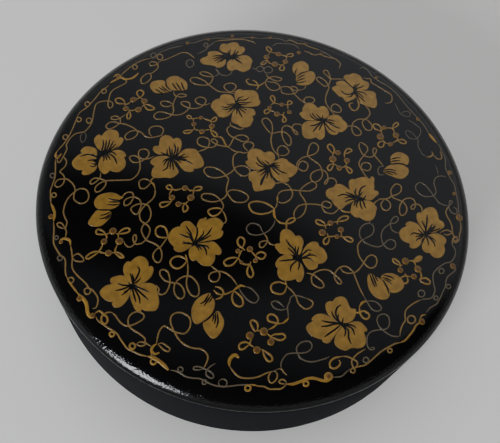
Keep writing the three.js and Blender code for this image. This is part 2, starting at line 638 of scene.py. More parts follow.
# Vines that follow the edge of the lid
FAR_VINES = [
    (PLAIN, [(242, 151), (250, 143), (268, 129), (287, 120), (300, 117)]),
    (WORN, [(300, 117), (309, 113), (322, 104), (332, 100), (344, 96), (366, 91)]),
    (WORN, [(375, 86), (386, 86), (396, 83), (409, 79), (422, 77), (439, 76), (471, 77), (499, 75),
        (521, 77)]),
    (WORN, [(521, 77), (541, 76), (560, 78), (573, 83)]),
    (PLAIN, [(573, 83), (579, 80), (588, 83), (596, 87), (608, 88), (618, 93), (639, 100)]),
    (PLAIN, [(431, 83), (440, 81), (456, 80), (471, 79), (486, 79), (497, 81), (506, 84), (512, 88)]),
    (WORN, [(431, 83), (417, 93), (412, 99), (404, 104), (394, 108)]),
    (PLAIN, [(318, 124), (323, 121), (332, 119), (352, 110), (361, 106), (371, 105), (379, 108),
        (389, 116)]),
    (PLAIN, [(298, 127), (304, 123), (312, 125), (316, 131), (315, 137), (304, 146), (295, 147),
        (287, 152), (282, 158), (283, 166), (289, 167), (297, 162), (302, 156), (302, 150), (297, 146)]),
    (PLAIN, [(298, 127), (302, 131), (311, 130), (319, 123)]),
    (WORN, [(544, 93), (554, 87), (566, 87), (581, 88), (591, 91), (599, 98)]),
    (PLAIN, [(608, 102), (618, 105), (629, 110), (641, 108), (651, 113), (669, 117), (676, 122),
        (681, 128), (678, 137)]),
    (WORN, [(639, 100), (656, 109), (676, 122)]),
]
RIGHT_VINES = [
    (WORN, [(719, 137), (726, 135), (735, 140), (746, 154), (763, 165), (775, 172), (793, 187),
        (810, 208), (828, 228), (845, 247), (859, 268)]),
    (PLAIN, [(726, 155), (733, 157), (741, 158), (743, 165), (753, 171), (773, 183), (781, 188),
        (784, 195), (783, 203), (776, 206), (770, 206)]),
    (FAINT, [(790, 206), (795, 217), (801, 227), (810, 232), (818, 233), (821, 228), (816, 223),
        (808, 223), (803, 227)]),
    (FAINT, [(816, 240), (826, 245), (835, 252), (841, 258), (841, 267), (836, 275), (831, 278),
        (821, 277), (814, 271), (811, 264), (815, 261), (823, 265), (831, 273), (836, 280), (836, 290),
        (840, 300), (845, 308), (854, 314)]),
    (BRIGHT, [(854, 314), (861, 313), (866, 308), (863, 303)]),
    (THICK, [(858, 267), (867, 278), (873, 285)]),
    (WORN, [(873, 285), (880, 294), (883, 303), (889, 312), (891, 323), (891, 335), (895, 345),
        (901, 357), (908, 368), (911, 380), (916, 405), (917, 418), (919, 435)]),
    (PLAIN, [(866, 309), (870, 313), (876, 318), (883, 317), (883, 310), (880, 303)]),
    (FAINT, [(871, 330), (875, 342), (876, 350)]),
    (WORN, [(893, 354), (884, 352), (876, 353), (870, 358), (868, 367), (871, 377), (872, 385),
        (868, 391), (860, 393), (850, 393), (840, 388), (832, 379), (832, 371), (839, 365), (847, 368),
        (856, 376), (870, 395), (878, 405), (888, 410), (898, 412)]),
    (WORN, [(898, 412), (899, 403), (902, 401), (905, 405), (898, 412), (901, 422), (909, 428),
        (914, 425), (913, 418), (906, 414)]),
    (PLAIN, [(898, 412), (892, 422), (894, 432), (900, 442), (904, 453), (905, 463), (908, 472),
        (916, 473)]),
    (PLAIN, [(920, 442), (922, 452), (921, 463), (919, 470), (918, 480), (911, 485), (905, 482),
        (908, 472)]),
    (WORN, [(904, 480), (905, 490), (910, 498), (911, 508), (907, 518), (901, 524), (891, 526),
        (883, 531), (875, 537), (867, 547), (866, 558), (868, 570), (870, 580), (866, 592), (860, 597),
        (850, 598), (841, 600)]),
    (WORN, [(900, 527), (906, 536), (912, 537), (906, 545), (896, 553), (892, 562), (891, 572),
        (886, 583), (881, 595), (873, 608), (861, 615), (852, 625)]),
    (PLAIN, [(841, 600), (830, 605), (820, 612), (812, 620), (810, 630), (811, 640), (805, 650),
        (801, 662), (800, 670)]),
]
NEAR_VINES = [
    (BRIGHT, [(851, 629), (844, 631), (840, 637)]),
    (BRIGHT, [(844, 643), (833, 650), (826, 662), (818, 672), (811, 680), (801, 685)]),
    (PLAIN, [(801, 685), (791, 687), (781, 692), (770, 698), (761, 704), (751, 713), (740, 723),
        (730, 730), (718, 733), (710, 736)]),
    (WORN, [(801, 671), (795, 673), (785, 672), (775, 667), (765, 659), (758, 652), (754, 640),
        (758, 631), (768, 628), (776, 632), (779, 642), (778, 652), (772, 658), (765, 659), (755, 660),
        (743, 663), (736, 670), (734, 680), (735, 692), (741, 699), (749, 698), (748, 695), (741, 695)]),
    (PLAIN, [(731, 698), (716, 707), (708, 715), (704, 721), (704, 728), (709, 736), (715, 730),
        (714, 723), (706, 718), (694, 713), (683, 713)]),
    (BRIGHT, [(683, 713), (669, 716), (661, 723), (660, 732), (666, 737), (674, 735), (681, 727),
        (678, 720)]),
    (WORN, [(700, 738), (693, 744), (684, 752), (674, 754), (664, 754)]),
    (WORN, [(659, 713), (651, 717), (641, 720), (629, 723), (616, 723), (604, 718), (597, 710),
        (593, 698), (598, 688), (608, 683), (619, 683), (624, 690), (622, 698), (614, 704), (604, 706),
        (591, 706), (579, 707), (572, 710), (566, 718), (562, 728), (563, 738)]),
    (PLAIN, [(556, 738), (563, 738), (568, 745), (574, 750)]),
    (BOLD, [(664, 756), (656, 761), (646, 761), (636, 758), (626, 756), (616, 757), (608, 760),
        (598, 764), (586, 768), (574, 768)]),
    (PLAIN, [(574, 768), (563, 777), (551, 778), (539, 778), (528, 773), (516, 772), (509, 770)]),
    (PLAIN, [(573, 768), (573, 765), (569, 760), (563, 759), (558, 763), (562, 767), (573, 768)]),
    (WORN, [(556, 738), (548, 742), (541, 743)]),
    (PLAIN, [(541, 743), (529, 748), (518, 753), (504, 756), (487, 756), (476, 752), (466, 742),
        (459, 732)]),
    (THICK, [(478, 716), (472, 710), (464, 713), (459, 722), (459, 732)]),
    (PLAIN, [(548, 742), (541, 745), (537, 755), (539, 763), (544, 766), (552, 760), (555, 752),
        (553, 745), (548, 742)]),
    (BRIGHT, [(516, 772), (509, 770), (500, 769)]),
    (WORN, [(500, 769), (479, 770), (462, 772), (451, 773), (436, 772), (422, 768), (411, 762),
        (399, 757), (386, 756), (372, 753), (361, 746), (352, 742), (341, 740)]),
    (WORN, [(438, 762), (444, 758), (452, 760), (454, 767), (451, 773), (443, 773), (437, 768),
        (438, 762)]),
]
LEFT_VINES = [
    (THICK, [(337, 740), (331, 733), (322, 725), (312, 718), (304, 714), (296, 713)]),
    (BOLD, [(305, 702), (310, 708), (319, 705)]),
    (PLAIN, [(296, 713), (280, 709), (267, 703), (255, 697), (247, 687), (240, 677), (234, 667),
        (224, 660), (214, 654), (204, 647), (195, 640), (192, 633)]),
    (BOLD, [(304, 710), (303, 700), (307, 692), (313, 688)]),
    (PLAIN, [(313, 688), (315, 676), (319, 662), (326, 653), (332, 653), (349, 663), (359, 666),
        (369, 667), (377, 660), (381, 650), (380, 637), (372, 629), (361, 625), (351, 626), (343, 632),
        (341, 642), (344, 653), (351, 668), (359, 680), (371, 690), (386, 696), (402, 698), (412, 705),
        (416, 715), (412, 728), (406, 738)]),
    (WORN, [(406, 738), (396, 740), (387, 738), (388, 734), (396, 733), (404, 735), (412, 739),
        (421, 743), (427, 750), (426, 756), (419, 755), (412, 748), (414, 740), (422, 732), (431, 727)]),
    (PLAIN, [(316, 688), (324, 686), (334, 692), (340, 698), (336, 703), (326, 698), (316, 688)]),
    (PLAIN, [(302, 692), (291, 685), (290, 677), (280, 668), (267, 660), (259, 653), (256, 642),
        (260, 631), (270, 624), (280, 624), (288, 630), (287, 637), (279, 643), (267, 649), (255, 652),
        (245, 648), (237, 640), (230, 630), (222, 624)]),
    (BRIGHT, [(222, 624), (214, 625), (208, 629), (203, 634), (204, 644), (210, 648), (215, 643),
        (214, 634), (208, 629), (200, 622), (195, 623), (190, 627)]),
    (PLAIN, [(273, 688), (279, 684), (289, 685), (291, 689), (282, 692), (273, 688)]),
    (THICK, [(183, 636), (178, 631), (175, 623), (174, 613), (171, 603), (164, 595), (157, 588)]),
    (BRIGHT, [(157, 588), (149, 578), (141, 567), (135, 557)]),
    (PLAIN, [(135, 557), (131, 545), (131, 523), (128, 515), (121, 510), (114, 500), (108, 488),
        (107, 477), (108, 465), (108, 455), (107, 443)]),
    (BOLD, [(107, 442), (109, 434), (109, 424), (106, 415), (102, 407)]),
    (PLAIN, [(102, 407), (101, 382), (104, 373), (107, 363), (110, 355), (111, 338), (111, 318)]),
    (BOLD, [(114, 303), (111, 310), (115, 316), (120, 311), (123, 307)]),
    (PLAIN, [(114, 303), (120, 296), (128, 287), (135, 277), (140, 268), (145, 258), (149, 248),
        (153, 239), (156, 230)]),
    (PLAIN, [(156, 230), (162, 223), (174, 215), (184, 204), (192, 195), (200, 185), (210, 177),
        (218, 170)]),
    (BOLD, [(242, 155), (240, 151), (234, 149), (227, 154)]),
    (BOLD, [(220, 166), (227, 162), (242, 155), (249, 158), (257, 158), (265, 156), (272, 151),
        (277, 146)]),
    (PLAIN, [(249, 158), (253, 162), (250, 167), (229, 178), (222, 185), (219, 193), (217, 202),
        (216, 210), (219, 216), (225, 213), (225, 206), (219, 202), (209, 202), (199, 204), (192, 209),
        (189, 218), (187, 228), (185, 240), (182, 248), (175, 258), (169, 263), (160, 265), (152, 267),
        (145, 272), (140, 277), (133, 289), (134, 297), (131, 305), (124, 318), (119, 325), (115, 323),
        (115, 316)]),
    (PLAIN, [(125, 312), (131, 318), (133, 325), (130, 333), (120, 343), (125, 348), (129, 355),
        (128, 364), (123, 371), (116, 374), (110, 371), (111, 365), (117, 359), (125, 358), (134, 358),
        (141, 363), (146, 368), (150, 377), (150, 383), (148, 390), (148, 398), (154, 404), (163, 407),
        (172, 404), (177, 397), (177, 387), (172, 379), (163, 377), (154, 380), (139, 393), (133, 402),
        (129, 412), (127, 425), (130, 435), (134, 445), (131, 457), (133, 463), (132, 470), (130, 477)]),
    (PLAIN, [(131, 457), (124, 456), (117, 453), (114, 448), (118, 445), (124, 447), (131, 457)]),
    (BOLD, [(122, 486), (121, 481), (125, 478), (130, 477), (135, 478), (140, 482), (141, 490)]),
    (PLAIN, [(141, 490), (143, 500), (145, 517), (144, 527), (145, 537), (150, 545), (157, 553),
        (165, 560), (173, 568), (178, 576), (184, 579), (190, 586), (195, 594), (196, 604), (192, 615),
        (185, 617)]),
    (PLAIN, [(145, 515), (148, 511), (155, 507), (161, 510), (167, 517), (167, 522), (160, 523),
        (150, 521), (145, 515)]),
    (FAINT, [(168, 264), (172, 270), (171, 278), (166, 285), (162, 282), (161, 274), (164, 267),
        (168, 264)]),
]

# Curling tendrils between the flowers
FAR_TENDRILS = [
    (PLAIN, [(347, 183), (348, 187), (352, 192), (359, 188), (367, 188), (373, 190), (371, 193),
        (362, 194), (354, 193), (351, 197), (348, 203), (346, 209), (347, 217), (347, 223), (343, 230),
        (336, 235), (324, 238), (314, 238), (308, 234), (310, 228), (317, 224), (326, 224), (344, 229),
        (354, 230), (364, 228), (372, 223), (377, 218), (380, 211), (378, 205), (372, 203), (366, 203),
        (362, 206), (367, 211), (376, 215), (386, 217), (396, 216), (403, 213), (409, 208), (412, 202),
        (410, 197), (402, 194), (396, 195), (391, 199), (392, 204), (398, 208), (407, 210), (414, 209),
        (421, 206)]),
    (PLAIN, [(346, 209), (342, 206), (336, 203), (329, 202), (322, 204), (322, 208), (327, 212),
        (337, 213), (346, 209)]),
    (PLAIN, [(470, 188), (459, 185), (447, 184), (439, 183), (431, 179), (416, 168), (410, 162),
        (402, 158), (394, 155), (386, 155), (381, 158), (382, 163), (391, 168), (402, 170), (414, 170),
        (421, 166), (425, 159), (426, 154), (417, 153), (407, 151), (400, 147), (403, 144), (412, 144),
        (421, 148), (427, 153)]),
    (WORN, [(427, 153), (435, 150), (437, 144), (431, 137), (436, 144), (444, 150), (454, 151),
        (462, 147), (464, 141)]),
    (PLAIN, [(472, 182), (461, 184), (452, 179), (448, 173), (452, 168), (461, 166), (469, 168),
        (472, 173), (470, 178), (461, 184)]),
    (WORN, [(505, 135), (511, 138), (518, 133), (524, 133), (528, 138), (524, 142), (518, 143),
        (511, 138)]),
    (WORN, [(525, 138), (536, 133), (544, 137), (544, 143), (537, 146), (530, 145), (528, 138)]),
    (PLAIN, [(532, 148), (535, 153), (543, 158), (553, 162), (561, 161), (564, 157), (558, 155),
        (548, 153), (539, 155), (533, 160), (531, 166), (534, 173), (541, 179), (549, 181), (558, 178),
        (560, 174), (556, 168), (549, 165), (541, 164), (533, 162)]),
    (PLAIN, [(562, 179), (563, 175), (569, 173), (578, 174), (584, 180), (589, 188), (598, 197),
        (606, 203), (614, 208)]),
    (PLAIN, [(606, 179), (599, 180), (591, 181), (584, 178), (582, 174), (587, 173), (593, 175),
        (595, 181), (591, 186), (583, 188), (573, 188), (564, 185), (562, 179)]),
    (PLAIN, [(610, 170), (611, 174), (606, 179)]),
    (PLAIN, [(612, 209), (608, 200), (612, 195), (619, 194), (627, 196), (629, 202), (624, 206),
        (618, 207), (610, 206)]),
    (BRIGHT, [(505, 160), (511, 163), (515, 168), (517, 173), (513, 179)]),
    (BRIGHT, [(499, 158), (494, 159), (493, 163), (498, 168), (508, 170), (518, 171), (524, 168),
        (532, 163)]),
    (PLAIN, [(690, 158), (679, 158), (668, 158), (660, 157), (656, 153), (649, 147), (647, 143),
        (651, 140), (656, 143), (659, 150), (661, 158), (659, 166), (656, 171), (649, 172), (643, 168),
        (636, 162), (633, 157), (638, 154), (646, 158), (652, 163), (656, 170), (658, 175), (655, 183),
        (652, 192), (651, 200), (653, 208), (658, 216), (663, 222), (669, 230)]),
    (PLAIN, [(663, 222), (663, 213), (669, 208), (676, 210), (682, 217), (682, 223), (676, 225),
        (668, 223), (663, 219)]),
    (BRIGHT, [(706, 206), (700, 207), (699, 212), (703, 218), (709, 221), (715, 218), (718, 210),
        (716, 202), (714, 195)]),
    (PLAIN, [(730, 211), (737, 218), (740, 227), (737, 233), (730, 238), (721, 238), (713, 240),
        (706, 246), (704, 253), (704, 260), (707, 267), (714, 271), (721, 269), (722, 263), (716, 256),
        (708, 252), (699, 252), (691, 255)]),
    (PLAIN, [(732, 238), (725, 243), (726, 250), (731, 258), (739, 261), (744, 257), (743, 249),
        (737, 242), (732, 238)]),
]
LEFT_TENDRILS = [
    (PLAIN, [(251, 229), (240, 236), (234, 232), (225, 233), (222, 237), (229, 239), (237, 238),
        (240, 236), (240, 247), (232, 244), (222, 244), (215, 248), (212, 253), (217, 258), (225, 256),
        (234, 251), (240, 247), (250, 248), (260, 252), (269, 257), (275, 263), (275, 268), (270, 274),
        (262, 278), (254, 279), (250, 275), (252, 269), (260, 263), (269, 261), (277, 262), (284, 266),
        (290, 272), (299, 275), (304, 275), (314, 273), (325, 270)]),
    (PLAIN, [(304, 273), (299, 267), (299, 258), (306, 253), (315, 252), (323, 254), (327, 260),
        (325, 267), (319, 273)]),
    (PLAIN, [(201, 346), (201, 352), (198, 358), (190, 365), (183, 368), (180, 365), (184, 359),
        (192, 356), (202, 358), (210, 361), (212, 367), (208, 375), (200, 382), (193, 384), (190, 380),
        (192, 373), (199, 367), (207, 363), (217, 361), (250, 360), (262, 359), (270, 354), (276, 347),
        (280, 337), (280, 327), (279, 319), (274, 313), (267, 311), (260, 313), (260, 318), (264, 323),
        (272, 325), (282, 323), (290, 318), (296, 313), (298, 307), (295, 300), (288, 298), (280, 300),
        (277, 306), (278, 313), (284, 317), (292, 318), (301, 316), (308, 312)]),
    (PLAIN, [(240, 398), (245, 393), (252, 386), (260, 384), (265, 386), (267, 392), (265, 400),
        (259, 408), (252, 411), (248, 408), (250, 400), (259, 395), (269, 394), (278, 398), (282, 405),
        (282, 413), (278, 422), (275, 428), (270, 428), (264, 423), (262, 417), (267, 412), (277, 408),
        (289, 408), (297, 412), (302, 425), (300, 437), (295, 444), (290, 447), (285, 453), (283, 461),
        (286, 470), (292, 479), (299, 483), (309, 487), (317, 493), (322, 500), (324, 510), (322, 520),
        (317, 525), (310, 522), (306, 513), (308, 505), (314, 498), (321, 494), (327, 486), (333, 478),
        (337, 473)]),
    (BRIGHT, [(310, 355), (304, 358), (302, 364), (307, 368), (310, 377)]),
    (PLAIN, [(310, 377), (310, 388), (305, 398), (289, 412), (282, 421), (279, 430), (282, 441),
        (290, 447), (296, 451), (300, 459), (298, 469), (292, 479), (284, 486), (277, 488), (271, 488),
        (268, 484), (266, 478), (267, 472), (270, 469), (272, 471), (273, 478), (270, 485), (266, 491),
        (260, 494), (255, 493), (250, 488), (248, 483)]),
    (PLAIN, [(302, 364), (295, 359), (287, 358), (280, 361), (278, 368), (281, 376), (289, 377),
        (296, 372), (302, 365)]),
    (BRIGHT, [(336, 475), (326, 475), (317, 473), (312, 468), (312, 458), (319, 452), (327, 453),
        (332, 458), (335, 467), (335, 476)]),
]
MIDDLE_TENDRILS = [
    (PLAIN, [(485, 251), (486, 257), (479, 258), (471, 255), (462, 251), (460, 247), (462, 244)]),
    (PLAIN, [(462, 251), (456, 255), (454, 260), (457, 267), (463, 273), (469, 275), (476, 279),
        (486, 283), (494, 282), (497, 278), (494, 273), (486, 270), (476, 271), (469, 275), (466, 279),
        (462, 287), (457, 293), (447, 292), (436, 290), (430, 287), (424, 283), (423, 279), (429, 278),
        (434, 282), (434, 288), (429, 293), (421, 295), (411, 294), (401, 291), (395, 286), (395, 280),
        (399, 275), (407, 274), (416, 277), (419, 283), (417, 293), (411, 298), (394, 304)]),
    (BRIGHT, [(434, 274), (442, 274), (447, 280), (452, 290), (458, 295)]),
    (PLAIN, [(458, 295), (464, 299), (472, 303), (481, 304), (489, 306), (498, 303)]),
    (PLAIN, [(496, 302), (489, 295), (487, 289), (492, 285), (501, 284), (507, 288), (506, 295),
        (498, 302)]),
    (PLAIN, [(481, 304), (473, 306), (467, 313), (466, 323), (467, 332), (472, 342), (481, 350),
        (489, 352), (497, 349), (500, 342), (497, 336), (489, 332), (479, 332), (471, 335), (465, 342),
        (457, 348), (449, 352), (437, 355), (426, 355), (416, 352), (410, 346), (408, 340), (412, 335),
        (422, 334), (434, 337), (444, 343), (452, 351), (457, 358), (455, 368), (453, 378), (454, 385),
        (459, 393), (467, 402), (479, 405), (491, 403), (497, 396), (494, 389), (484, 383), (472, 380),
        (462, 380), (456, 384), (451, 393), (443, 399), (432, 403), (419, 403), (407, 399), (403, 394),
        (406, 388), (416, 387), (427, 389), (436, 395), (443, 403), (447, 412), (444, 420)]),
    (BRIGHT, [(444, 420), (441, 417), (432, 416), (421, 418), (416, 423), (421, 430), (428, 432),
        (437, 428), (444, 420)]),
    (PLAIN, [(444, 420), (449, 428), (452, 437), (452, 443), (445, 449)]),
    (PLAIN, [(540, 266), (531, 255), (525, 245), (525, 239), (532, 236), (539, 240), (544, 248),
        (545, 258), (544, 268), (542, 278), (543, 288), (546, 298), (551, 305), (556, 310), (558, 317)]),
    (PLAIN, [(540, 266), (544, 267), (563, 263), (571, 265), (578, 271), (582, 278), (582, 287),
        (579, 291), (573, 288), (567, 279), (564, 269), (564, 260), (566, 254), (573, 251), (580, 253),
        (586, 258), (593, 263), (596, 268), (593, 269), (588, 264), (585, 258), (585, 253), (588, 249),
        (594, 248), (601, 249), (607, 254)]),
    (PLAIN, [(558, 310), (555, 303), (556, 297), (561, 292), (569, 292), (575, 297), (578, 303),
        (574, 309), (566, 311), (558, 310)]),
    (PLAIN, [(594, 335), (594, 328), (598, 321), (606, 315), (624, 310), (633, 305), (637, 298),
        (636, 291), (630, 286), (624, 286), (619, 292), (617, 300), (615, 308), (619, 315), (636, 327),
        (641, 333), (644, 342), (645, 350), (641, 358), (634, 363), (628, 364), (623, 360), (621, 353),
        (624, 346), (633, 341), (643, 339), (651, 343), (655, 349), (656, 357), (655, 363), (652, 368),
        (649, 367), (651, 362), (656, 358), (664, 356), (670, 359), (673, 365), (672, 370)]),
    (PLAIN, [(596, 336), (599, 326), (606, 322), (614, 326), (616, 333), (613, 340), (606, 342),
        (599, 338), (594, 334)]),
    (PLAIN, [(624, 363), (614, 368), (605, 375), (600, 382), (602, 390), (608, 398), (612, 407),
        (612, 415), (609, 425), (602, 433), (594, 437)]),
    (PLAIN, [(628, 364), (633, 369), (632, 375), (624, 380), (614, 382), (584, 380), (574, 380),
        (564, 382), (558, 386), (555, 393)]),
    (BOLD, [(555, 393), (555, 402)]),
    (PLAIN, [(555, 402), (553, 412), (549, 418)]),
    (BRIGHT, [(549, 367), (555, 366), (563, 365)]),
    (PLAIN, [(563, 365), (573, 368), (579, 373), (584, 382), (585, 390), (581, 398), (573, 404),
        (564, 406), (556, 403)]),
    (BRIGHT, [(549, 418), (541, 411), (531, 406), (519, 403), (508, 403), (499, 407), (499, 415),
        (506, 424), (520, 428), (531, 427), (541, 424), (549, 418)]),
    (BOLD, [(549, 416), (548, 424), (549, 432), (552, 438)]),
    (BRIGHT, [(552, 438), (557, 443), (563, 446), (574, 447), (583, 445), (590, 440), (589, 436),
        (581, 437), (574, 442), (573, 448), (573, 462)]),
    (PLAIN, [(590, 437), (588, 430), (589, 423), (596, 413), (606, 409), (624, 408), (644, 410),
        (644, 407), (649, 403), (655, 403), (662, 407), (662, 413), (655, 416), (644, 411), (646, 418),
        (651, 424), (660, 427), (668, 426), (674, 421), (679, 416)]),
    (BRIGHT, [(679, 417), (688, 423), (703, 425)]),
    (WORN, [(550, 440), (548, 448), (541, 458), (532, 465), (521, 469), (509, 470), (499, 467),
        (493, 459), (495, 452), (501, 447), (510, 447), (519, 451), (523, 459), (527, 466)]),
    (PLAIN, [(527, 466), (532, 472), (535, 482), (528, 493), (522, 495), (519, 491), (520, 485),
        (527, 482), (535, 482), (541, 488), (552, 491)]),
    (PLAIN, [(720, 285), (723, 285), (730, 289), (735, 295), (734, 303), (722, 318), (718, 326),
        (720, 333), (725, 342), (730, 350), (737, 357)]),
    (PLAIN, [(720, 285), (718, 292), (721, 301), (726, 309), (733, 313), (742, 314), (748, 311),
        (752, 305), (753, 299), (749, 296), (746, 299), (747, 307), (751, 313), (762, 326), (767, 333)]),
    (PLAIN, [(723, 335), (724, 328), (731, 325), (739, 327), (742, 333), (739, 340), (732, 341),
        (724, 337)]),
    (WORN, [(768, 332), (759, 334), (756, 340), (757, 347), (762, 350), (768, 349)]),
]
RIGHT_TENDRILS = [
    (BRIGHT, [(745, 409), (748, 407), (753, 402)]),
    (PLAIN, [(753, 402), (761, 398), (770, 398), (778, 396), (783, 392), (791, 390), (800, 385),
        (803, 377), (800, 370), (792, 368), (786, 373), (782, 380), (783, 390), (788, 396), (805, 403),
        (811, 410), (814, 418), (811, 427), (804, 431), (800, 427), (799, 420), (800, 412), (804, 404),
        (810, 398), (820, 396), (827, 399), (831, 407), (830, 414), (826, 419), (822, 416), (824, 411),
        (831, 408), (839, 410), (844, 417), (843, 426)]),
    (PLAIN, [(770, 398), (765, 403), (762, 410), (766, 418), (773, 421), (780, 416), (781, 408),
        (776, 401), (770, 398)]),
    (WORN, [(739, 440), (739, 446), (730, 448), (722, 455), (719, 465), (721, 475), (728, 483),
        (738, 489), (750, 493), (760, 493), (768, 488), (775, 481), (783, 479), (790, 483), (791, 492),
        (785, 498), (778, 498), (771, 493), (766, 487), (763, 477), (763, 467), (767, 458), (775, 451),
        (781, 447), (790, 446), (796, 440), (796, 435), (790, 433), (783, 440), (781, 448), (783, 458),
        (790, 464), (800, 466)]),
    (WORN, [(739, 446), (746, 451), (748, 460), (744, 469), (736, 474), (728, 478)]),
    (PLAIN, [(728, 478), (722, 482), (716, 490), (716, 502), (719, 513), (726, 523), (735, 533),
        (743, 536), (751, 532), (754, 522), (751, 513), (743, 510), (735, 514), (728, 525), (721, 535),
        (713, 543), (704, 546), (693, 546), (684, 541), (681, 534)]),
    (PLAIN, [(613, 546), (619, 547), (628, 550), (636, 556), (644, 563), (648, 572), (642, 576),
        (633, 573), (625, 567), (623, 558), (624, 552), (630, 545), (639, 541), (649, 539), (659, 541),
        (666, 546), (674, 553), (681, 560), (683, 566), (679, 568), (673, 563), (669, 555), (670, 547),
        (676, 538), (684, 533), (693, 533), (701, 538), (707, 545), (711, 555), (719, 575), (728, 593)]),
    (WORN, [(728, 593), (735, 605), (743, 617), (751, 622), (760, 621), (763, 616), (758, 608),
        (750, 603), (741, 602), (732, 602)]),
    (BOLD, [(733, 602), (725, 605), (719, 613)]),
    (BRIGHT, [(719, 613), (720, 625), (724, 633), (731, 638), (737, 636), (739, 630), (733, 624),
        (726, 622), (718, 625), (708, 626)]),
    (PLAIN, [(880, 466), (886, 462), (895, 460), (901, 463), (904, 465), (901, 468), (893, 470),
        (887, 467)]),
]
NEAR_TENDRILS = [
    (PLAIN, [(420, 530), (429, 537), (437, 543), (440, 551), (435, 562), (425, 563), (418, 556),
        (421, 547), (431, 543), (443, 543), (455, 548), (466, 558), (474, 570)]),
    (BOLD, [(490, 573), (482, 571), (476, 574), (467, 581)]),
    (BRIGHT, [(467, 581), (457, 586), (445, 590)]),
    (BRIGHT, [(430, 573), (441, 576), (447, 584), (443, 594), (431, 599)]),
    (BRIGHT, [(427, 580), (435, 587), (445, 590)]),
    (BRIGHT, [(468, 582), (464, 594), (468, 607), (478, 613), (486, 609), (484, 596), (474, 586),
        (468, 582)]),
    (WORN, [(477, 575), (485, 588), (496, 600), (508, 606), (515, 602), (517, 594), (510, 584),
        (501, 576), (490, 573)]),
    (BRIGHT, [(570, 559), (572, 567), (574, 573)]),
    (PLAIN, [(574, 573), (579, 577), (586, 584), (592, 593), (596, 605), (603, 613), (612, 618),
        (621, 615), (626, 608), (624, 602), (614, 597)]),
    (BRIGHT, [(572, 569), (566, 566), (557, 564), (546, 567), (542, 573), (544, 582), (553, 587),
        (563, 588), (570, 583), (573, 573)]),
    (WORN, [(614, 597), (599, 592), (589, 591), (582, 594), (579, 604), (575, 614), (576, 623),
        (577, 636)]),
    (WORN, [(574, 617), (563, 620), (551, 617), (544, 610), (544, 604), (553, 602), (561, 607),
        (568, 614)]),
    (BRIGHT, [(537, 659), (544, 656), (552, 650), (556, 643), (554, 635), (547, 629), (539, 629),
        (535, 635), (538, 642), (548, 645), (558, 647), (566, 646)]),
    (BOLD, [(566, 646), (573, 641), (577, 636)]),
    (PLAIN, [(312, 570), (318, 578), (317, 586), (323, 589), (331, 586), (337, 576), (340, 564),
        (338, 549), (333, 541), (325, 539), (320, 543), (321, 551), (329, 560), (339, 564), (349, 566),
        (359, 568), (367, 578), (369, 590), (364, 597), (357, 596), (350, 588), (348, 578), (350, 568),
        (357, 559), (368, 553), (380, 552), (390, 560), (397, 572), (398, 586), (393, 593), (383, 590),
        (376, 580), (373, 566), (375, 551), (376, 537), (375, 523)]),
    (BRIGHT, [(375, 523), (373, 516), (371, 509)]),
    (BRIGHT, [(373, 520), (362, 513), (349, 514), (341, 522), (343, 531), (353, 537), (363, 534),
        (371, 526), (373, 520)]),
    (PLAIN, [(279, 623), (276, 618)]),
]

# Small circles that curl off the vines: across, down and radius
CURLS = {
    BRIGHT: [(224, 668, 4.8), (307, 723, 5.6), (612, 767, 5.2), (496, 776, 5.6), (657, 753, 7.2),
        (265, 692, 5.8)],
    PLAIN: [(270, 134, 4.6), (158, 239, 4.6), (178, 241, 5.2), (320, 114, 5.6), (175, 582, 6.4),
        (142, 560, 5.6), (780, 701, 4.4), (706, 741, 4.6), (823, 639, 8), (911, 478, 4), (208, 182, 4.8),
        (175, 208, 4.8), (108, 390, 4.6), (131, 274, 4.8)],
    WORN: [(307, 111, 5.2), (380, 127, 7.6), (412, 90, 4), (105, 351, 4.6), (120, 516, 5),
        (113, 475, 3.8), (361, 739, 5.2), (409, 764, 4.6), (883, 542, 5.2), (897, 573, 4.4),
        (872, 596, 4.2), (843, 587, 6.8), (732, 720, 5.6), (906, 532, 4.4)],
}

# Drops of thick paint along the vines: across, down and radius
DROPS = [
    (375, 86, 4), (417, 79, 3.2), (465, 72, 3.6), (505, 75, 3.2), (541, 75, 3.2), (598, 105, 4.4),
    (610, 88, 3.2), (642, 108, 3.2), (753, 155, 3.2), (836, 238, 4), (900, 345, 4.4), (909, 387, 3.6),
    (919, 435, 6), (906, 532, 5.2), (844, 643, 6), (657, 753, 5.2), (185, 631, 5.8), (159, 597, 6),
    (122, 484, 4.4), (102, 433, 5.6), (115, 314, 4), (236, 152, 4.4), (483, 525, 4),
]

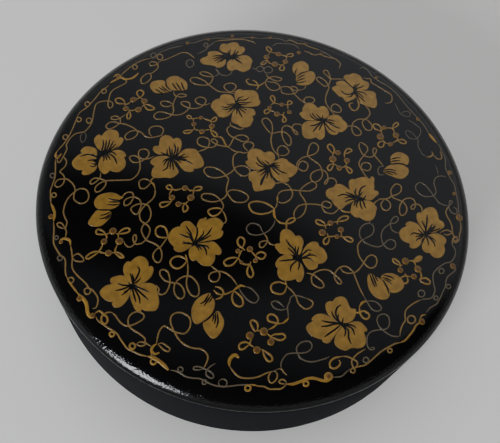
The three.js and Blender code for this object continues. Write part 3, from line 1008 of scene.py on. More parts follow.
# Wreaths: berries, as across, down and radius, and the lines that join and loop off them
WREATHS = {
    "far_left": ([(267, 199, 6.8), (289, 202, 6.8), (252, 217, 6.2), (277, 219, 7.2)], [
        [(280, 195), (274, 188), (275, 183), (281, 180), (287, 184), (286, 190), (280, 195)],
        [(250, 208), (247, 200), (240, 196), (233, 197), (231, 201), (235, 206), (250, 208)],
        [(288, 210), (295, 209), (303, 212), (309, 217), (303, 220), (294, 218), (288, 210)],
        [(259, 222), (255, 228), (254, 234), (257, 238), (261, 234), (261, 228), (259, 222)],
        [(262, 203), (255, 208), (250, 208), (251, 212)], [(272, 199), (280, 195), (285, 198)],
        [(257, 220), (265, 221), (271, 219)], [(287, 206), (288, 210), (282, 215)],
    ]),
    "upper": ([(388, 248, 5.4), (404, 263, 6), (424, 252, 6.4), (402, 235, 4.6)], [
        [(381, 238), (376, 236), (374, 232), (379, 231), (383, 235), (381, 238)],
        [(421, 242), (426, 237), (432, 234), (433, 239), (429, 243), (421, 242)],
        [(386, 260), (379, 266), (370, 266), (367, 264), (372, 261), (386, 260)],
        [(421, 261), (427, 262), (434, 268), (433, 273), (427, 271), (421, 261)],
        [(387, 243), (386, 237), (381, 238)], [(386, 237), (398, 236)],
        [(406, 236), (411, 238), (421, 242), (423, 247)], [(388, 253), (389, 258), (386, 260)],
        [(389, 258), (399, 261)], [(424, 256), (421, 261)], [(410, 260), (421, 259)],
    ]),
    "far_middle": ([(557, 108, 6), (571, 123, 6), (550, 128, 7), (533, 114, 6)], [
        [(541, 104), (543, 99), (539, 95), (535, 93), (533, 96), (535, 101), (541, 104)],
        [(573, 113), (575, 109), (582, 107), (587, 109), (583, 113), (573, 113)],
        [(564, 130), (559, 137), (563, 141), (568, 139), (568, 133), (564, 130)],
        [(534, 120), (527, 123), (522, 128), (526, 129), (532, 126), (534, 120)],
        [(541, 104), (554, 107)], [(560, 109), (573, 113), (572, 118)],
        [(569, 127), (564, 130), (556, 129)], [(534, 119), (539, 126), (544, 128)],
        [(536, 110), (540, 105)],
    ]),
    "upper_middle": ([(539, 215, 4.6), (564, 209, 5), (579, 224, 5), (554, 228, 6.4)], [
        [(548, 206), (550, 200), (548, 193), (544, 191), (541, 195), (544, 201), (548, 206)],
        [(575, 210), (576, 203), (581, 202), (584, 205), (582, 208), (575, 210)],
        [(569, 224), (566, 230), (572, 238), (571, 243), (567, 244), (565, 240), (568, 233)],
        [(542, 221), (536, 219), (530, 220), (529, 225), (534, 227), (542, 221)],
        [(541, 211), (548, 206), (559, 209)], [(569, 209), (575, 210), (576, 219)],
        [(539, 219), (549, 224)], [(560, 229), (566, 230)],
    ]),
    "right_of_middle": ([(676, 305, 6), (666, 318, 7.6), (694, 321, 6.4), (679, 336, 6)], [
        [(666, 307), (659, 300), (655, 293), (660, 288), (666, 293), (669, 300), (666, 307)],
        [(667, 327), (659, 330), (655, 336), (659, 341), (664, 337), (667, 327)],
        [(689, 315), (689, 307), (693, 299), (699, 297), (704, 301), (700, 304), (690, 308)],
        [(691, 332), (694, 339), (699, 346), (704, 344), (702, 338), (691, 332)],
        [(666, 313), (666, 307), (673, 304)], [(666, 323), (667, 327), (675, 332)],
        [(684, 335), (691, 332), (694, 326)],
    ]),
    "far_right": ([(761, 273, 7.4), (769, 255, 5), (792, 270, 6.6), (781, 288, 5)], [
        [(762, 262), (761, 253), (753, 248), (747, 249), (747, 254), (753, 259), (762, 262)],
        [(785, 257), (787, 250), (793, 245), (797, 248), (793, 253), (785, 257)],
        [(769, 284), (761, 283), (756, 288), (759, 294), (766, 293), (769, 284)],
        [(795, 280), (805, 279), (812, 283), (811, 287), (803, 286), (795, 280)],
        [(765, 268), (762, 262), (766, 258)], [(773, 256), (785, 257), (789, 266)],
        [(794, 274), (795, 280), (785, 286)], [(765, 278), (769, 284), (777, 288)],
    ]),
    "left_of_middle": ([(370, 376, 6.4), (382, 395, 7.6), (344, 395, 6.6), (357, 408, 6.4)], [
        [(345, 379), (337, 378), (333, 374), (337, 370), (342, 371), (345, 379)],
        [(387, 381), (390, 375), (399, 373), (404, 375), (400, 380), (387, 381)],
        [(343, 403), (323, 405), (320, 410), (324, 414), (334, 411), (343, 403)],
        [(370, 407), (366, 414), (367, 422), (371, 423), (376, 417), (374, 411), (370, 407)],
        [(338, 390), (345, 379), (352, 380), (364, 377)],
        [(375, 376), (380, 381), (387, 381), (386, 390)], [(378, 401), (370, 407), (362, 406)],
        [(344, 399), (343, 403)],
    ]),
    "left": ([(226, 462, 7.8), (208, 483, 6.8), (239, 482, 8.2), (217, 506, 7.2)], [
        [(212, 469), (207, 463), (200, 459), (195, 459), (192, 463), (195, 468), (212, 469)],
        [(236, 468), (240, 463), (247, 458), (255, 456), (260, 459), (255, 465), (236, 468)],
        [(199, 503), (190, 503), (180, 507), (173, 513), (173, 517), (180, 516), (199, 503)],
        [(229, 505), (234, 504), (242, 508), (248, 515), (240, 514), (229, 505)],
        [(220, 466), (212, 469), (214, 475), (211, 480)], [(232, 467), (236, 468), (237, 475)],
        [(206, 488), (202, 497), (199, 503), (212, 507)],
        [(235, 489), (231, 498), (229, 505), (222, 505)],
    ]),
    "near_middle": ([(476, 502, 5.2), (500, 498, 6.6), (511, 521, 5.2)], [
        [(490, 501), (485, 496), (478, 491), (475, 483), (477, 477), (482, 474), (488, 478), (489, 485),
         (485, 496)],
        [(477, 516), (467, 515), (457, 517), (450, 521), (448, 526), (453, 531), (461, 531), (468, 527),
         (477, 516)],
        [(511, 512), (516, 506), (524, 504), (531, 508), (529, 515), (522, 518), (511, 512)],
        [(500, 528), (495, 538), (495, 548), (501, 555), (506, 551), (506, 543), (500, 528)],
        [(484, 500), (480, 508), (477, 516)], [(503, 503), (511, 512), (512, 518)],
        [(477, 516), (483, 525), (492, 529), (500, 528), (502, 523)],
    ]),
    "right": ([(645, 465, 7.6), (682, 459, 6.4), (661, 446, 6), (674, 473, 5)], [
        [(651, 452), (648, 445), (639, 440), (633, 440), (632, 444), (638, 449), (651, 452)],
        [(674, 444), (678, 438), (685, 433), (694, 432), (697, 435), (692, 440), (674, 444)],
        [(658, 473), (651, 476), (647, 482), (649, 488), (654, 488), (658, 482), (658, 473)],
        [(683, 472), (688, 474), (698, 474), (705, 478), (705, 483), (698, 483), (683, 472)],
        [(652, 458), (651, 452), (656, 449)], [(667, 444), (674, 444), (675, 449)],
        [(654, 466), (658, 473), (670, 472)], [(682, 465), (683, 472), (678, 474)],
    ]),
    "near_right": ([(811, 522, 7.2), (836, 538, 7.2), (801, 540, 5.8), (828, 553, 6)], [
        [(801, 531), (790, 526), (785, 519), (790, 518), (798, 524), (801, 531)],
        [(839, 559), (847, 566), (858, 568), (860, 562), (851, 556), (839, 559)],
        [(814, 552), (806, 553), (801, 558), (806, 565), (811, 567), (816, 562), (814, 552)],
        [(800, 535), (801, 531), (805, 530)], [(817, 522), (827, 522), (832, 532)],
        [(841, 543), (843, 554), (839, 559)], [(823, 553), (814, 552), (810, 547)],
    ]),
    "near": ([(528, 663, 8.6), (500, 671, 8.2), (542, 684, 7.4), (514, 700, 7.8)], [
        [(514, 661), (510, 662), (504, 653), (501, 644), (506, 640), (514, 645), (516, 654), (514, 661)],
        [(541, 673), (548, 669), (558, 668), (567, 668), (571, 674), (566, 679), (558, 680), (541, 673)],
        [(525, 699), (528, 710), (534, 720), (540, 723), (545, 719), (541, 710), (525, 699)],
        [(500, 688), (492, 684), (482, 686), (478, 692), (480, 698), (487, 698), (500, 688)],
        [(508, 664), (514, 661), (522, 662)], [(534, 667), (541, 673), (541, 678)],
        [(503, 678), (500, 688), (508, 694)], [(520, 699), (525, 699)],
    ]),
}

# Small filled leaves, as outlines
LEAVES = [
    [(827, 522), (835, 513), (844, 513), (841, 521), (831, 524)],
]

# Flowers: the eye, the outlines of the petals, and the veins, each from its tip towards the eye
FLOWERS = {
    "far": ((461, 114), [
        [(417, 105), (426, 103), (436, 104), (447, 111), (451, 121), (449, 129), (442, 134), (435, 134),
         (429, 131), (417, 129), (406, 127), (401, 121), (406, 116), (416, 112)],
        [(440, 98), (442, 91), (447, 88), (454, 89), (459, 87), (467, 85), (475, 87), (479, 93),
         (486, 94), (489, 99), (486, 105), (479, 109), (467, 108), (460, 110), (454, 105), (446, 103)],
        [(479, 113), (488, 111), (497, 113), (504, 121), (502, 128), (500, 136), (494, 141), (486, 143),
         (478, 140), (471, 138), (464, 141), (457, 138), (455, 132), (456, 125), (462, 120), (471, 118)],
    ], [
        [(424, 113)], [(426, 118)], [(429, 122)], [(434, 126)], [(441, 124)], [(456, 102)], [(461, 99)],
        [(471, 100)], [(477, 102)], [(480, 118)], [(484, 128)], [(477, 125)], [(466, 121)],
    ]),
    "upper": ((472, 208), [
        [(473, 201), (470, 189), (473, 182), (479, 179), (486, 181), (494, 181), (504, 181), (512, 184),
         (516, 191), (517, 198), (520, 204), (517, 210), (509, 212), (497, 213), (487, 212), (479, 207)],
        [(468, 199), (465, 194), (459, 190), (450, 189), (443, 191), (440, 197), (433, 199), (426, 204),
         (423, 211), (425, 217), (430, 222), (434, 227), (438, 232), (447, 234), (456, 231), (463, 224),
         (467, 215), (469, 207)],
        [(473, 218), (467, 224), (465, 232), (464, 242), (470, 246), (476, 248), (482, 253), (491, 254),
         (500, 251), (503, 245), (506, 239), (504, 232), (509, 230), (510, 225), (506, 219), (497, 217),
         (485, 216), (478, 215)],
    ], [
        [(487, 193), (477, 197)], [(498, 195), (490, 200), (478, 201)],
        [(503, 204), (491, 206), (480, 205)], [(493, 210), (482, 209)],
        [(453, 208), (458, 210), (465, 208)], [(442, 213), (451, 215), (463, 212)],
        [(445, 217), (451, 219), (463, 216)], [(455, 225), (463, 219)], [(473, 228), (474, 221)],
        [(485, 235), (480, 227), (477, 219)], [(491, 226), (482, 219)], [(494, 221), (483, 215)],
    ]),
    "far_right": ((709, 182), [
        [(688, 154), (693, 150), (699, 150), (706, 147), (714, 149), (721, 153), (725, 160), (731, 163),
         (737, 166), (737, 172), (733, 178), (725, 179), (716, 178), (708, 174), (701, 169), (695, 163),
         (690, 158)],
        [(673, 165), (683, 162), (688, 163), (694, 168), (701, 174), (706, 179), (705, 187), (711, 192),
         (708, 197), (701, 200), (694, 203), (689, 199), (686, 194), (679, 192), (672, 185), (665, 178),
         (667, 174), (674, 171)],
        [(720, 179), (728, 182), (738, 182), (747, 184), (751, 188), (751, 194), (753, 202), (753, 210),
         (749, 215), (739, 213), (728, 209), (721, 205), (716, 200), (713, 193), (711, 187), (713, 182)],
    ], [
        [(711, 168), (708, 174)], [(720, 167), (714, 171), (710, 176)],
        [(728, 171), (721, 175), (713, 177)], [(682, 181), (688, 187), (700, 189)],
        [(693, 194), (702, 193)], [(734, 191), (725, 185)], [(728, 196), (720, 189)],
        [(730, 204), (722, 196), (715, 190)], [(720, 204), (715, 195)],
    ]),
    "upper_right": ((645, 241), [
        [(611, 209), (616, 206), (624, 207), (631, 212), (636, 217), (641, 214), (648, 213), (654, 218),
         (657, 225), (656, 232), (649, 236), (641, 235), (634, 240), (624, 240), (614, 239), (606, 235),
         (600, 228), (602, 225), (606, 223), (606, 217)],
        [(606, 249), (605, 260), (606, 269), (611, 275), (621, 277), (631, 274), (636, 276), (641, 279),
         (648, 273), (649, 265), (648, 255), (646, 247), (641, 243), (629, 243), (616, 243)],
        [(654, 240), (659, 233), (668, 230), (676, 231), (683, 236), (684, 239), (691, 245), (694, 251),
         (692, 257), (684, 263), (676, 263), (676, 266), (670, 269), (661, 267), (655, 260), (652, 252),
         (651, 245)],
    ], [
        [(620, 228), (623, 234), (631, 239)], [(624, 226), (629, 233), (637, 238)],
        [(632, 228), (640, 236)], [(645, 231), (645, 236)], [(619, 252), (631, 250), (639, 246)],
        [(626, 264), (632, 256), (641, 247)], [(638, 261), (641, 254), (644, 248)],
        [(670, 243), (659, 240)], [(670, 249), (661, 245)], [(680, 257), (667, 252), (656, 245)],
        [(671, 265), (660, 259), (652, 249)],
    ]),
    "far_left": ((202, 309), [
        [(200, 299), (194, 293), (190, 285), (190, 277), (195, 271), (200, 270), (203, 273), (209, 266),
         (216, 261), (225, 260), (234, 263), (237, 270), (237, 276), (242, 275), (246, 279), (244, 285),
         (237, 293), (229, 298), (220, 301), (210, 302)],
        [(220, 303), (230, 301), (240, 301), (248, 305), (251, 312), (247, 315), (250, 322), (250, 331),
         (245, 338), (237, 343), (227, 342), (220, 340), (216, 344), (209, 347), (202, 342), (198, 333),
         (198, 327), (201, 318), (207, 311), (215, 308)],
        [(193, 310), (193, 302), (189, 297), (180, 294), (171, 294), (165, 298), (162, 303), (167, 306),
         (158, 310), (150, 317), (145, 325), (148, 333), (155, 338), (167, 340), (164, 346), (170, 349),
         (180, 347), (190, 340), (193, 332), (190, 326), (184, 322), (191, 318)],
    ], [
        [(206, 280), (207, 289), (204, 300)], [(213, 281), (210, 298)], [(220, 279), (214, 298)],
        [(227, 282), (217, 300)], [(231, 288), (219, 301)], [(236, 293), (221, 303)],
        [(207, 323), (208, 315)], [(214, 321), (211, 312)], [(221, 320), (214, 310)],
        [(234, 328), (229, 316), (218, 308)], [(233, 311), (226, 305), (214, 305)],
        [(160, 313), (176, 309), (192, 313)], [(175, 322), (184, 320), (195, 319)],
        [(184, 308), (194, 314)], [(182, 327), (192, 327)], [(180, 332), (190, 332)],
        [(195, 301), (197, 310)],
    ]),
    "upper_left": ((341, 315), [
        [(331, 307), (321, 308), (312, 305), (307, 299), (309, 293), (318, 292), (320, 283), (323, 275),
         (331, 271), (340, 273), (347, 279), (351, 277), (357, 277), (362, 283), (362, 292), (359, 302),
         (352, 309), (346, 312)],
        [(357, 312), (362, 305), (371, 299), (382, 298), (392, 300), (397, 307), (403, 315), (407, 326),
         (405, 332), (396, 336), (386, 337), (387, 341), (379, 343), (369, 340), (361, 332), (355, 323),
         (349, 318)],
        [(334, 313), (321, 313), (311, 315), (303, 321), (302, 326), (310, 331), (306, 338), (304, 348),
         (308, 354), (319, 355), (331, 354), (341, 355), (349, 352), (356, 345), (355, 340), (351, 333),
         (350, 327), (344, 320)],
    ], [
        [(334, 298), (335, 309)], [(338, 293), (341, 310)], [(344, 298), (344, 310)],
        [(348, 287), (351, 298), (347, 311)], [(356, 293), (355, 302), (351, 311)],
        [(322, 305), (332, 310)], [(370, 308), (360, 313)], [(378, 314), (360, 315)],
        [(374, 319), (356, 317)], [(386, 329), (373, 322), (358, 319)], [(363, 326), (354, 320)],
        [(325, 325), (330, 320)], [(328, 331), (332, 323)], [(325, 342), (334, 336), (337, 324)],
        [(340, 338), (341, 325)], [(347, 340), (345, 325)], [(353, 334), (348, 322)],
    ]),
    "middle": ((539, 331), [
        [(497, 305), (503, 300), (512, 298), (522, 301), (529, 306), (536, 304), (544, 305), (549, 312),
         (548, 320), (542, 327), (531, 333), (523, 337), (513, 339), (503, 336), (494, 328), (492, 323),
         (497, 321), (496, 312)],
        [(548, 324), (556, 320), (564, 317), (574, 320), (575, 323), (583, 328), (592, 334), (595, 337),
         (591, 346), (582, 353), (573, 355), (578, 359), (572, 364), (561, 362), (551, 356), (545, 348),
         (542, 337), (544, 330)],
        [(528, 341), (517, 342), (506, 343), (500, 348), (498, 355), (501, 361), (504, 362), (506, 371),
         (510, 381), (520, 381), (532, 378), (542, 377), (548, 371), (550, 365), (545, 359), (541, 350),
         (539, 342)],
    ], [
        [(514, 314), (517, 321), (528, 331)], [(512, 325), (518, 331), (527, 334)],
        [(524, 323), (532, 330)], [(530, 321), (537, 327)], [(574, 347), (563, 344), (550, 336)],
        [(559, 350), (552, 344), (546, 337)], [(560, 337), (549, 333)], [(560, 332), (548, 330)],
        [(558, 326), (548, 327)], [(521, 371), (523, 362), (532, 346)], [(523, 370), (526, 360)],
        [(533, 358), (536, 346)], [(543, 357), (540, 344)], [(521, 351), (533, 340)],
        [(514, 345), (524, 341), (531, 336)],
    ]),
    "right": ((716, 395), [
        [(706, 385), (696, 378), (689, 373), (681, 369), (671, 370), (669, 374), (658, 378), (653, 383),
         (654, 392), (663, 399), (668, 407), (674, 413), (680, 418), (685, 416), (691, 410), (701, 405),
         (709, 399), (714, 396)],
        [(710, 389), (703, 383), (699, 372), (699, 363), (704, 359), (711, 359), (719, 356), (731, 355),
         (740, 358), (744, 353), (748, 358), (747, 365), (748, 375), (747, 380), (755, 383), (756, 388),
         (750, 393), (743, 399), (735, 399), (728, 396), (721, 392), (716, 390)],
        [(719, 403), (730, 402), (738, 402), (746, 407), (753, 416), (751, 422), (750, 430), (745, 438),
         (736, 441), (728, 439), (720, 434), (713, 434), (706, 429), (702, 424), (703, 417), (705, 408),
         (711, 403)],
    ], [
        [(675, 393), (686, 389), (706, 393)], [(689, 396), (698, 394), (708, 396)],
        [(691, 384), (710, 392)], [(690, 404), (698, 400), (710, 398)],
        [(712, 377), (710, 385), (713, 392)], [(732, 371), (722, 377), (718, 389)],
        [(725, 384), (720, 391)], [(732, 391), (727, 397)], [(732, 417), (729, 411), (726, 403)],
        [(725, 419), (721, 411), (720, 401)], [(714, 416), (713, 408), (717, 401)],
        [(708, 412), (710, 405), (714, 400)],
    ]),
    "edge_right": ((850, 469), [
        [(800, 464), (805, 457), (814, 453), (812, 448), (818, 444), (826, 445), (835, 449), (841, 457),
         (846, 465), (848, 472), (843, 479), (841, 487), (835, 493), (827, 496), (820, 493), (821, 487),
         (811, 483), (803, 477), (800, 470)],
        [(834, 433), (836, 426), (843, 426), (848, 421), (853, 417), (861, 415), (868, 417), (873, 423),
         (876, 433), (878, 440), (885, 444), (888, 450), (886, 455), (878, 459), (870, 463), (861, 465),
         (852, 463), (846, 457), (841, 450), (836, 442)],
        [(846, 488), (845, 494), (848, 501), (854, 505), (860, 505), (866, 512), (874, 515), (882, 513),
         (887, 507), (889, 498), (887, 490), (891, 485), (891, 478), (885, 472), (876, 468), (867, 468),
         (860, 470), (853, 473), (850, 480)],
    ], [
        [(821, 469), (828, 466), (836, 468)], [(831, 473), (840, 472)],
        [(832, 482), (835, 478), (841, 476)], [(836, 459), (845, 467)],
        [(854, 429), (854, 441), (852, 458)], [(844, 442), (851, 458)], [(865, 448), (858, 459)],
        [(870, 450), (862, 459)], [(872, 453), (863, 460)], [(880, 457), (866, 462)],
        [(857, 491), (856, 483)], [(870, 494), (866, 483)], [(871, 483), (866, 478)],
    ]),
    "left": ((387, 488), [
        [(337, 473), (341, 465), (347, 458), (356, 454), (362, 454), (362, 450), (367, 445), (374, 443),
         (381, 445), (387, 451), (392, 458), (392, 467), (391, 477), (386, 485), (382, 491), (378, 495),
         (372, 499), (362, 503), (352, 501), (348, 496), (349, 493), (343, 487), (338, 479)],
        [(394, 470), (396, 462), (395, 453), (397, 445), (401, 439), (407, 438), (412, 435), (413, 441),
         (420, 438), (429, 436), (437, 438), (443, 443), (446, 448), (443, 455), (441, 461), (445, 462),
         (445, 467), (442, 473), (434, 477), (424, 479), (412, 481), (401, 483), (392, 485), (394, 478)],
        [(387, 493), (382, 495), (379, 502), (379, 510), (382, 518), (387, 521), (393, 519), (399, 525),
         (407, 530), (416, 531), (421, 530), (427, 523), (429, 517), (430, 508), (437, 509), (441, 507),
         (442, 501), (437, 493), (430, 486), (424, 484), (412, 486), (402, 487), (394, 489)],
    ], [
        [(359, 468), (371, 473), (381, 476)], [(372, 452), (377, 460), (382, 468)],
        [(373, 464), (379, 469), (385, 478)], [(365, 483)], [(365, 488)],
        [(424, 455), (417, 466), (409, 473)], [(407, 462), (405, 470)], [(422, 470), (412, 476)],
        [(395, 455), (394, 470)], [(413, 510), (412, 502), (407, 494)], [(418, 498), (412, 492)],
        [(404, 500)], [(398, 501)],
    ]),
    "near_middle": ((597, 518), [
        [(551, 489), (561, 487), (561, 478), (562, 467), (567, 460), (574, 459), (581, 462), (587, 468),
         (591, 473), (598, 472), (604, 477), (606, 485), (604, 493), (602, 502), (598, 509), (589, 509),
         (579, 508), (569, 508), (561, 505), (554, 498)],
        [(606, 505), (611, 495), (619, 487), (628, 484), (635, 486), (638, 493), (646, 498), (652, 508),
         (653, 517), (646, 525), (636, 527), (634, 534), (628, 538), (619, 538), (613, 532), (608, 524),
         (605, 514)],
        [(584, 513), (574, 510), (564, 513), (557, 518), (552, 527), (554, 534), (557, 536), (556, 543),
         (558, 553), (566, 559), (578, 560), (588, 558), (593, 557), (594, 561), (599, 563), (604, 558),
         (607, 548), (606, 538), (603, 530), (599, 526), (591, 522), (584, 520)],
    ], [
        [(572, 479), (579, 490), (587, 498)], [(576, 496), (584, 503)], [(591, 493)], [(598, 493)],
        [(623, 501), (614, 501)], [(621, 506)], [(633, 513), (621, 510)], [(626, 523), (616, 516)],
        [(581, 543), (582, 533), (588, 526)], [(596, 540)], [(558, 522), (571, 521)],
    ]),
    "near_left": ((265, 569), [
        [(261, 565), (253, 556), (248, 543), (249, 531), (255, 524), (262, 524), (270, 517), (280, 513),
         (290, 517), (296, 526), (296, 534), (303, 533), (306, 539), (303, 550), (294, 560), (282, 567),
         (271, 568)],
        [(253, 558), (245, 552), (233, 553), (223, 557), (222, 564), (225, 568), (212, 572), (203, 580),
         (201, 587), (208, 596), (219, 602), (228, 603), (225, 608), (232, 614), (243, 611), (253, 600),
         (259, 588), (259, 578)],
        [(272, 572), (282, 569), (292, 567), (304, 568), (312, 574), (313, 582), (316, 594), (317, 607),
         (312, 619), (302, 621), (290, 620), (283, 617), (280, 624), (272, 619), (266, 607), (262, 594),
         (263, 582)],
    ], [
        [(275, 533), (279, 540), (275, 552)], [(260, 547), (264, 558)], [(264, 548), (267, 558)],
        [(282, 556), (274, 564)], [(235, 567), (243, 570), (254, 571)],
        [(231, 581), (243, 579), (256, 574)], [(243, 591), (252, 584), (259, 577)],
        [(248, 584), (256, 580)], [(297, 584), (286, 579), (274, 574)],
        [(296, 599), (286, 590), (274, 579)], [(280, 608), (278, 594), (271, 581)],
        [(272, 604), (269, 594), (266, 582)],
    ]),
    "near": ((682, 649), [
        [(659, 630), (653, 618), (653, 607), (661, 603), (665, 604), (673, 596), (684, 594), (692, 599),
         (697, 611), (702, 618), (711, 619), (710, 630), (704, 640), (692, 645), (682, 642), (673, 640)],
        [(678, 646), (661, 636), (647, 629), (633, 630), (624, 638), (627, 642), (616, 650), (614, 658),
         (622, 669), (637, 676), (645, 678), (647, 683), (657, 685), (667, 673), (676, 660), (682, 652)],
        [(688, 652), (698, 648), (710, 644), (722, 646), (734, 660), (727, 664), (731, 677), (729, 689),
         (720, 695), (702, 695), (692, 700), (678, 695), (670, 685), (673, 671), (682, 658)],
    ], [
        [(682, 610), (674, 616), (672, 630)], [(663, 623), (666, 631), (673, 640)],
        [(677, 629), (676, 638)], [(686, 636), (685, 644)], [(649, 674), (660, 666), (674, 656)],
        [(642, 653), (654, 652), (670, 648)], [(643, 641), (654, 644), (673, 646)],
        [(702, 688), (697, 674), (696, 660)], [(689, 673), (691, 660)], [(709, 670), (703, 656)],
        [(712, 656), (702, 650)],
    ]),
}

# Buds: the outlines of the petals, and the veins, each from its tip to its foot
BUDS = {
    "far_left": ([
        [(301, 172), (304, 165), (312, 162), (322, 161), (329, 163), (331, 170), (336, 176), (342, 181),
         (334, 184), (327, 185), (312, 185), (304, 179)],
        [(333, 163), (336, 157), (344, 153), (354, 153), (364, 158), (372, 164), (374, 172), (372, 179),
         (359, 180), (351, 180), (341, 178), (335, 172)],
    ], [
        [(332, 163), (332, 170), (336, 176), (341, 181)], [(311, 178), (318, 183), (325, 187)],
        [(318, 175), (326, 180), (333, 185)], [(323, 172), (331, 179), (339, 184)],
        [(344, 166), (349, 173), (356, 182)], [(352, 165), (357, 173), (363, 182)],
        [(363, 165), (365, 172), (370, 182)],
    ]),
    "far_right": ([
        [(591, 148), (587, 143), (586, 135), (589, 128), (598, 124), (606, 123), (614, 128), (617, 135),
         (615, 142), (608, 143), (599, 146), (594, 151)],
        [(593, 155), (599, 148), (611, 144), (623, 143), (629, 148), (630, 155), (626, 162), (619, 168),
         (608, 170), (598, 169), (594, 167), (602, 164), (594, 162)],
    ], [
        [(616, 143), (604, 146), (594, 153)], [(594, 138), (591, 143), (590, 150)],
        [(610, 149), (600, 154), (593, 158)], [(610, 156), (602, 159), (593, 162)],
        [(612, 162), (603, 165), (595, 167)],
    ]),
    "left": ([
        [(190, 409), (190, 402), (196, 393), (207, 388), (220, 386), (232, 388), (240, 393), (246, 395),
         (234, 401), (239, 406), (234, 412), (224, 417), (210, 419), (199, 418), (193, 414)],
        [(195, 421), (189, 427), (183, 435), (178, 443), (178, 448), (185, 451), (194, 452), (203, 450),
         (212, 443), (218, 436), (222, 429), (220, 423), (206, 421)],
    ], [
        [(194, 420), (208, 420), (224, 420)], [(216, 397), (228, 400), (243, 401)],
        [(217, 404), (241, 404)], [(215, 409), (228, 410), (239, 408)],
        [(201, 431), (210, 429), (223, 423)], [(199, 438), (211, 435), (223, 426)],
        [(210, 439), (217, 435), (224, 428)],
    ]),
    "right": ([
        [(783, 313), (788, 308), (796, 305), (806, 307), (815, 313), (817, 322), (813, 330), (803, 328),
         (793, 325), (783, 326), (782, 320)],
        [(773, 335), (783, 330), (796, 328), (808, 332), (816, 338), (815, 348), (806, 356), (796, 356),
         (785, 352), (775, 348), (768, 343)],
    ], [
        [(814, 331), (798, 327), (784, 329)], [(801, 316), (792, 316), (780, 319)],
        [(800, 321), (779, 323)], [(792, 342), (781, 339), (768, 340)],
        [(794, 349), (784, 344), (768, 342)], [(786, 350), (776, 346), (768, 345)],
    ]),
    "near_left": ([
        [(386, 613), (394, 600), (406, 591), (419, 587), (421, 592), (428, 602), (427, 617), (419, 631),
         (406, 641), (394, 647), (387, 641), (384, 627)],
        [(421, 635), (435, 623), (442, 631), (447, 643), (444, 658), (435, 671), (426, 676), (417, 669),
         (409, 656), (408, 645)],
    ], [
        [(408, 644), (420, 634), (431, 621)], [(401, 607), (409, 603), (418, 588)],
        [(408, 612), (414, 603), (422, 591)], [(418, 605), (425, 594)],
        [(432, 656), (436, 643), (434, 624)], [(429, 648), (431, 637), (430, 623)],
        [(425, 643), (427, 634), (427, 626)],
    ]),
    "near_right": ([
        [(737, 551), (742, 548), (751, 554), (763, 560), (773, 573), (779, 587), (773, 597), (759, 597),
         (747, 589), (739, 577), (736, 562)],
        [(763, 554), (771, 548), (786, 548), (798, 554), (806, 564), (806, 575), (796, 583), (782, 584),
         (777, 575), (769, 562)],
    ], [
        [(778, 588), (774, 575), (765, 560)], [(750, 574), (745, 563), (739, 548)],
        [(753, 573), (750, 563), (743, 547)], [(755, 562), (749, 550)],
        [(788, 559), (781, 554), (766, 550)], [(783, 562), (775, 558), (765, 555)],
        [(783, 569), (777, 563), (768, 559)],
    ]),
}


def set_values(seed, name, values):
    """Gives each vertex of a seed mesh a number."""
    attribute = seed.attributes.new(name, "FLOAT", "POINT")
    attribute.data.foreach_set("value", values)


UPWARD = Vector((0, 0, 1))
RAY_LENGTH = 2


def draped(tree, geometry, lid):
    """Sets geometry that lies round z = 0 down on the lid, as if dropped from above."""
    place = add(tree, "GeometryNodeInputPosition", {}).outputs[0]
    above = add(tree, "ShaderNodeVectorMath", {0: place, 1: UPWARD}, operation="ADD")
    target = add(tree, "GeometryNodeObjectInfo", {"Object": lid})
    landing = add(tree, "GeometryNodeRaycast", {
        "Target Geometry": target.outputs["Geometry"],
        "Source Position": above.outputs[0],
        "Ray Direction": -UPWARD,
        "Ray Length": RAY_LENGTH,
    })
    rise = add(tree, "ShaderNodeVectorMath", {
        0: landing.outputs["Hit Position"],
        1: UPWARD,
    }, operation="MULTIPLY")
    return add(tree, "GeometryNodeSetPosition", {
        "Geometry": geometry,
        "Selection": landing.outputs["Is Hit"],
        "Offset": rise.outputs[0],
    }).outputs[0]


def smooth_path(tree, geometry, step):
    """Edges drawn as paths, as curves rounded through their points and cut into even steps."""
    path = add(tree, "GeometryNodeMeshToCurve", {0: geometry})
    smooth = add(tree, "GeometryNodeCurveSplineType", {0: path.outputs[0]}, spline_type="CATMULL_ROM")
    return add(tree, "GeometryNodeResampleCurve", {0: smooth.outputs[0], "Length": step}, mode="LENGTH")


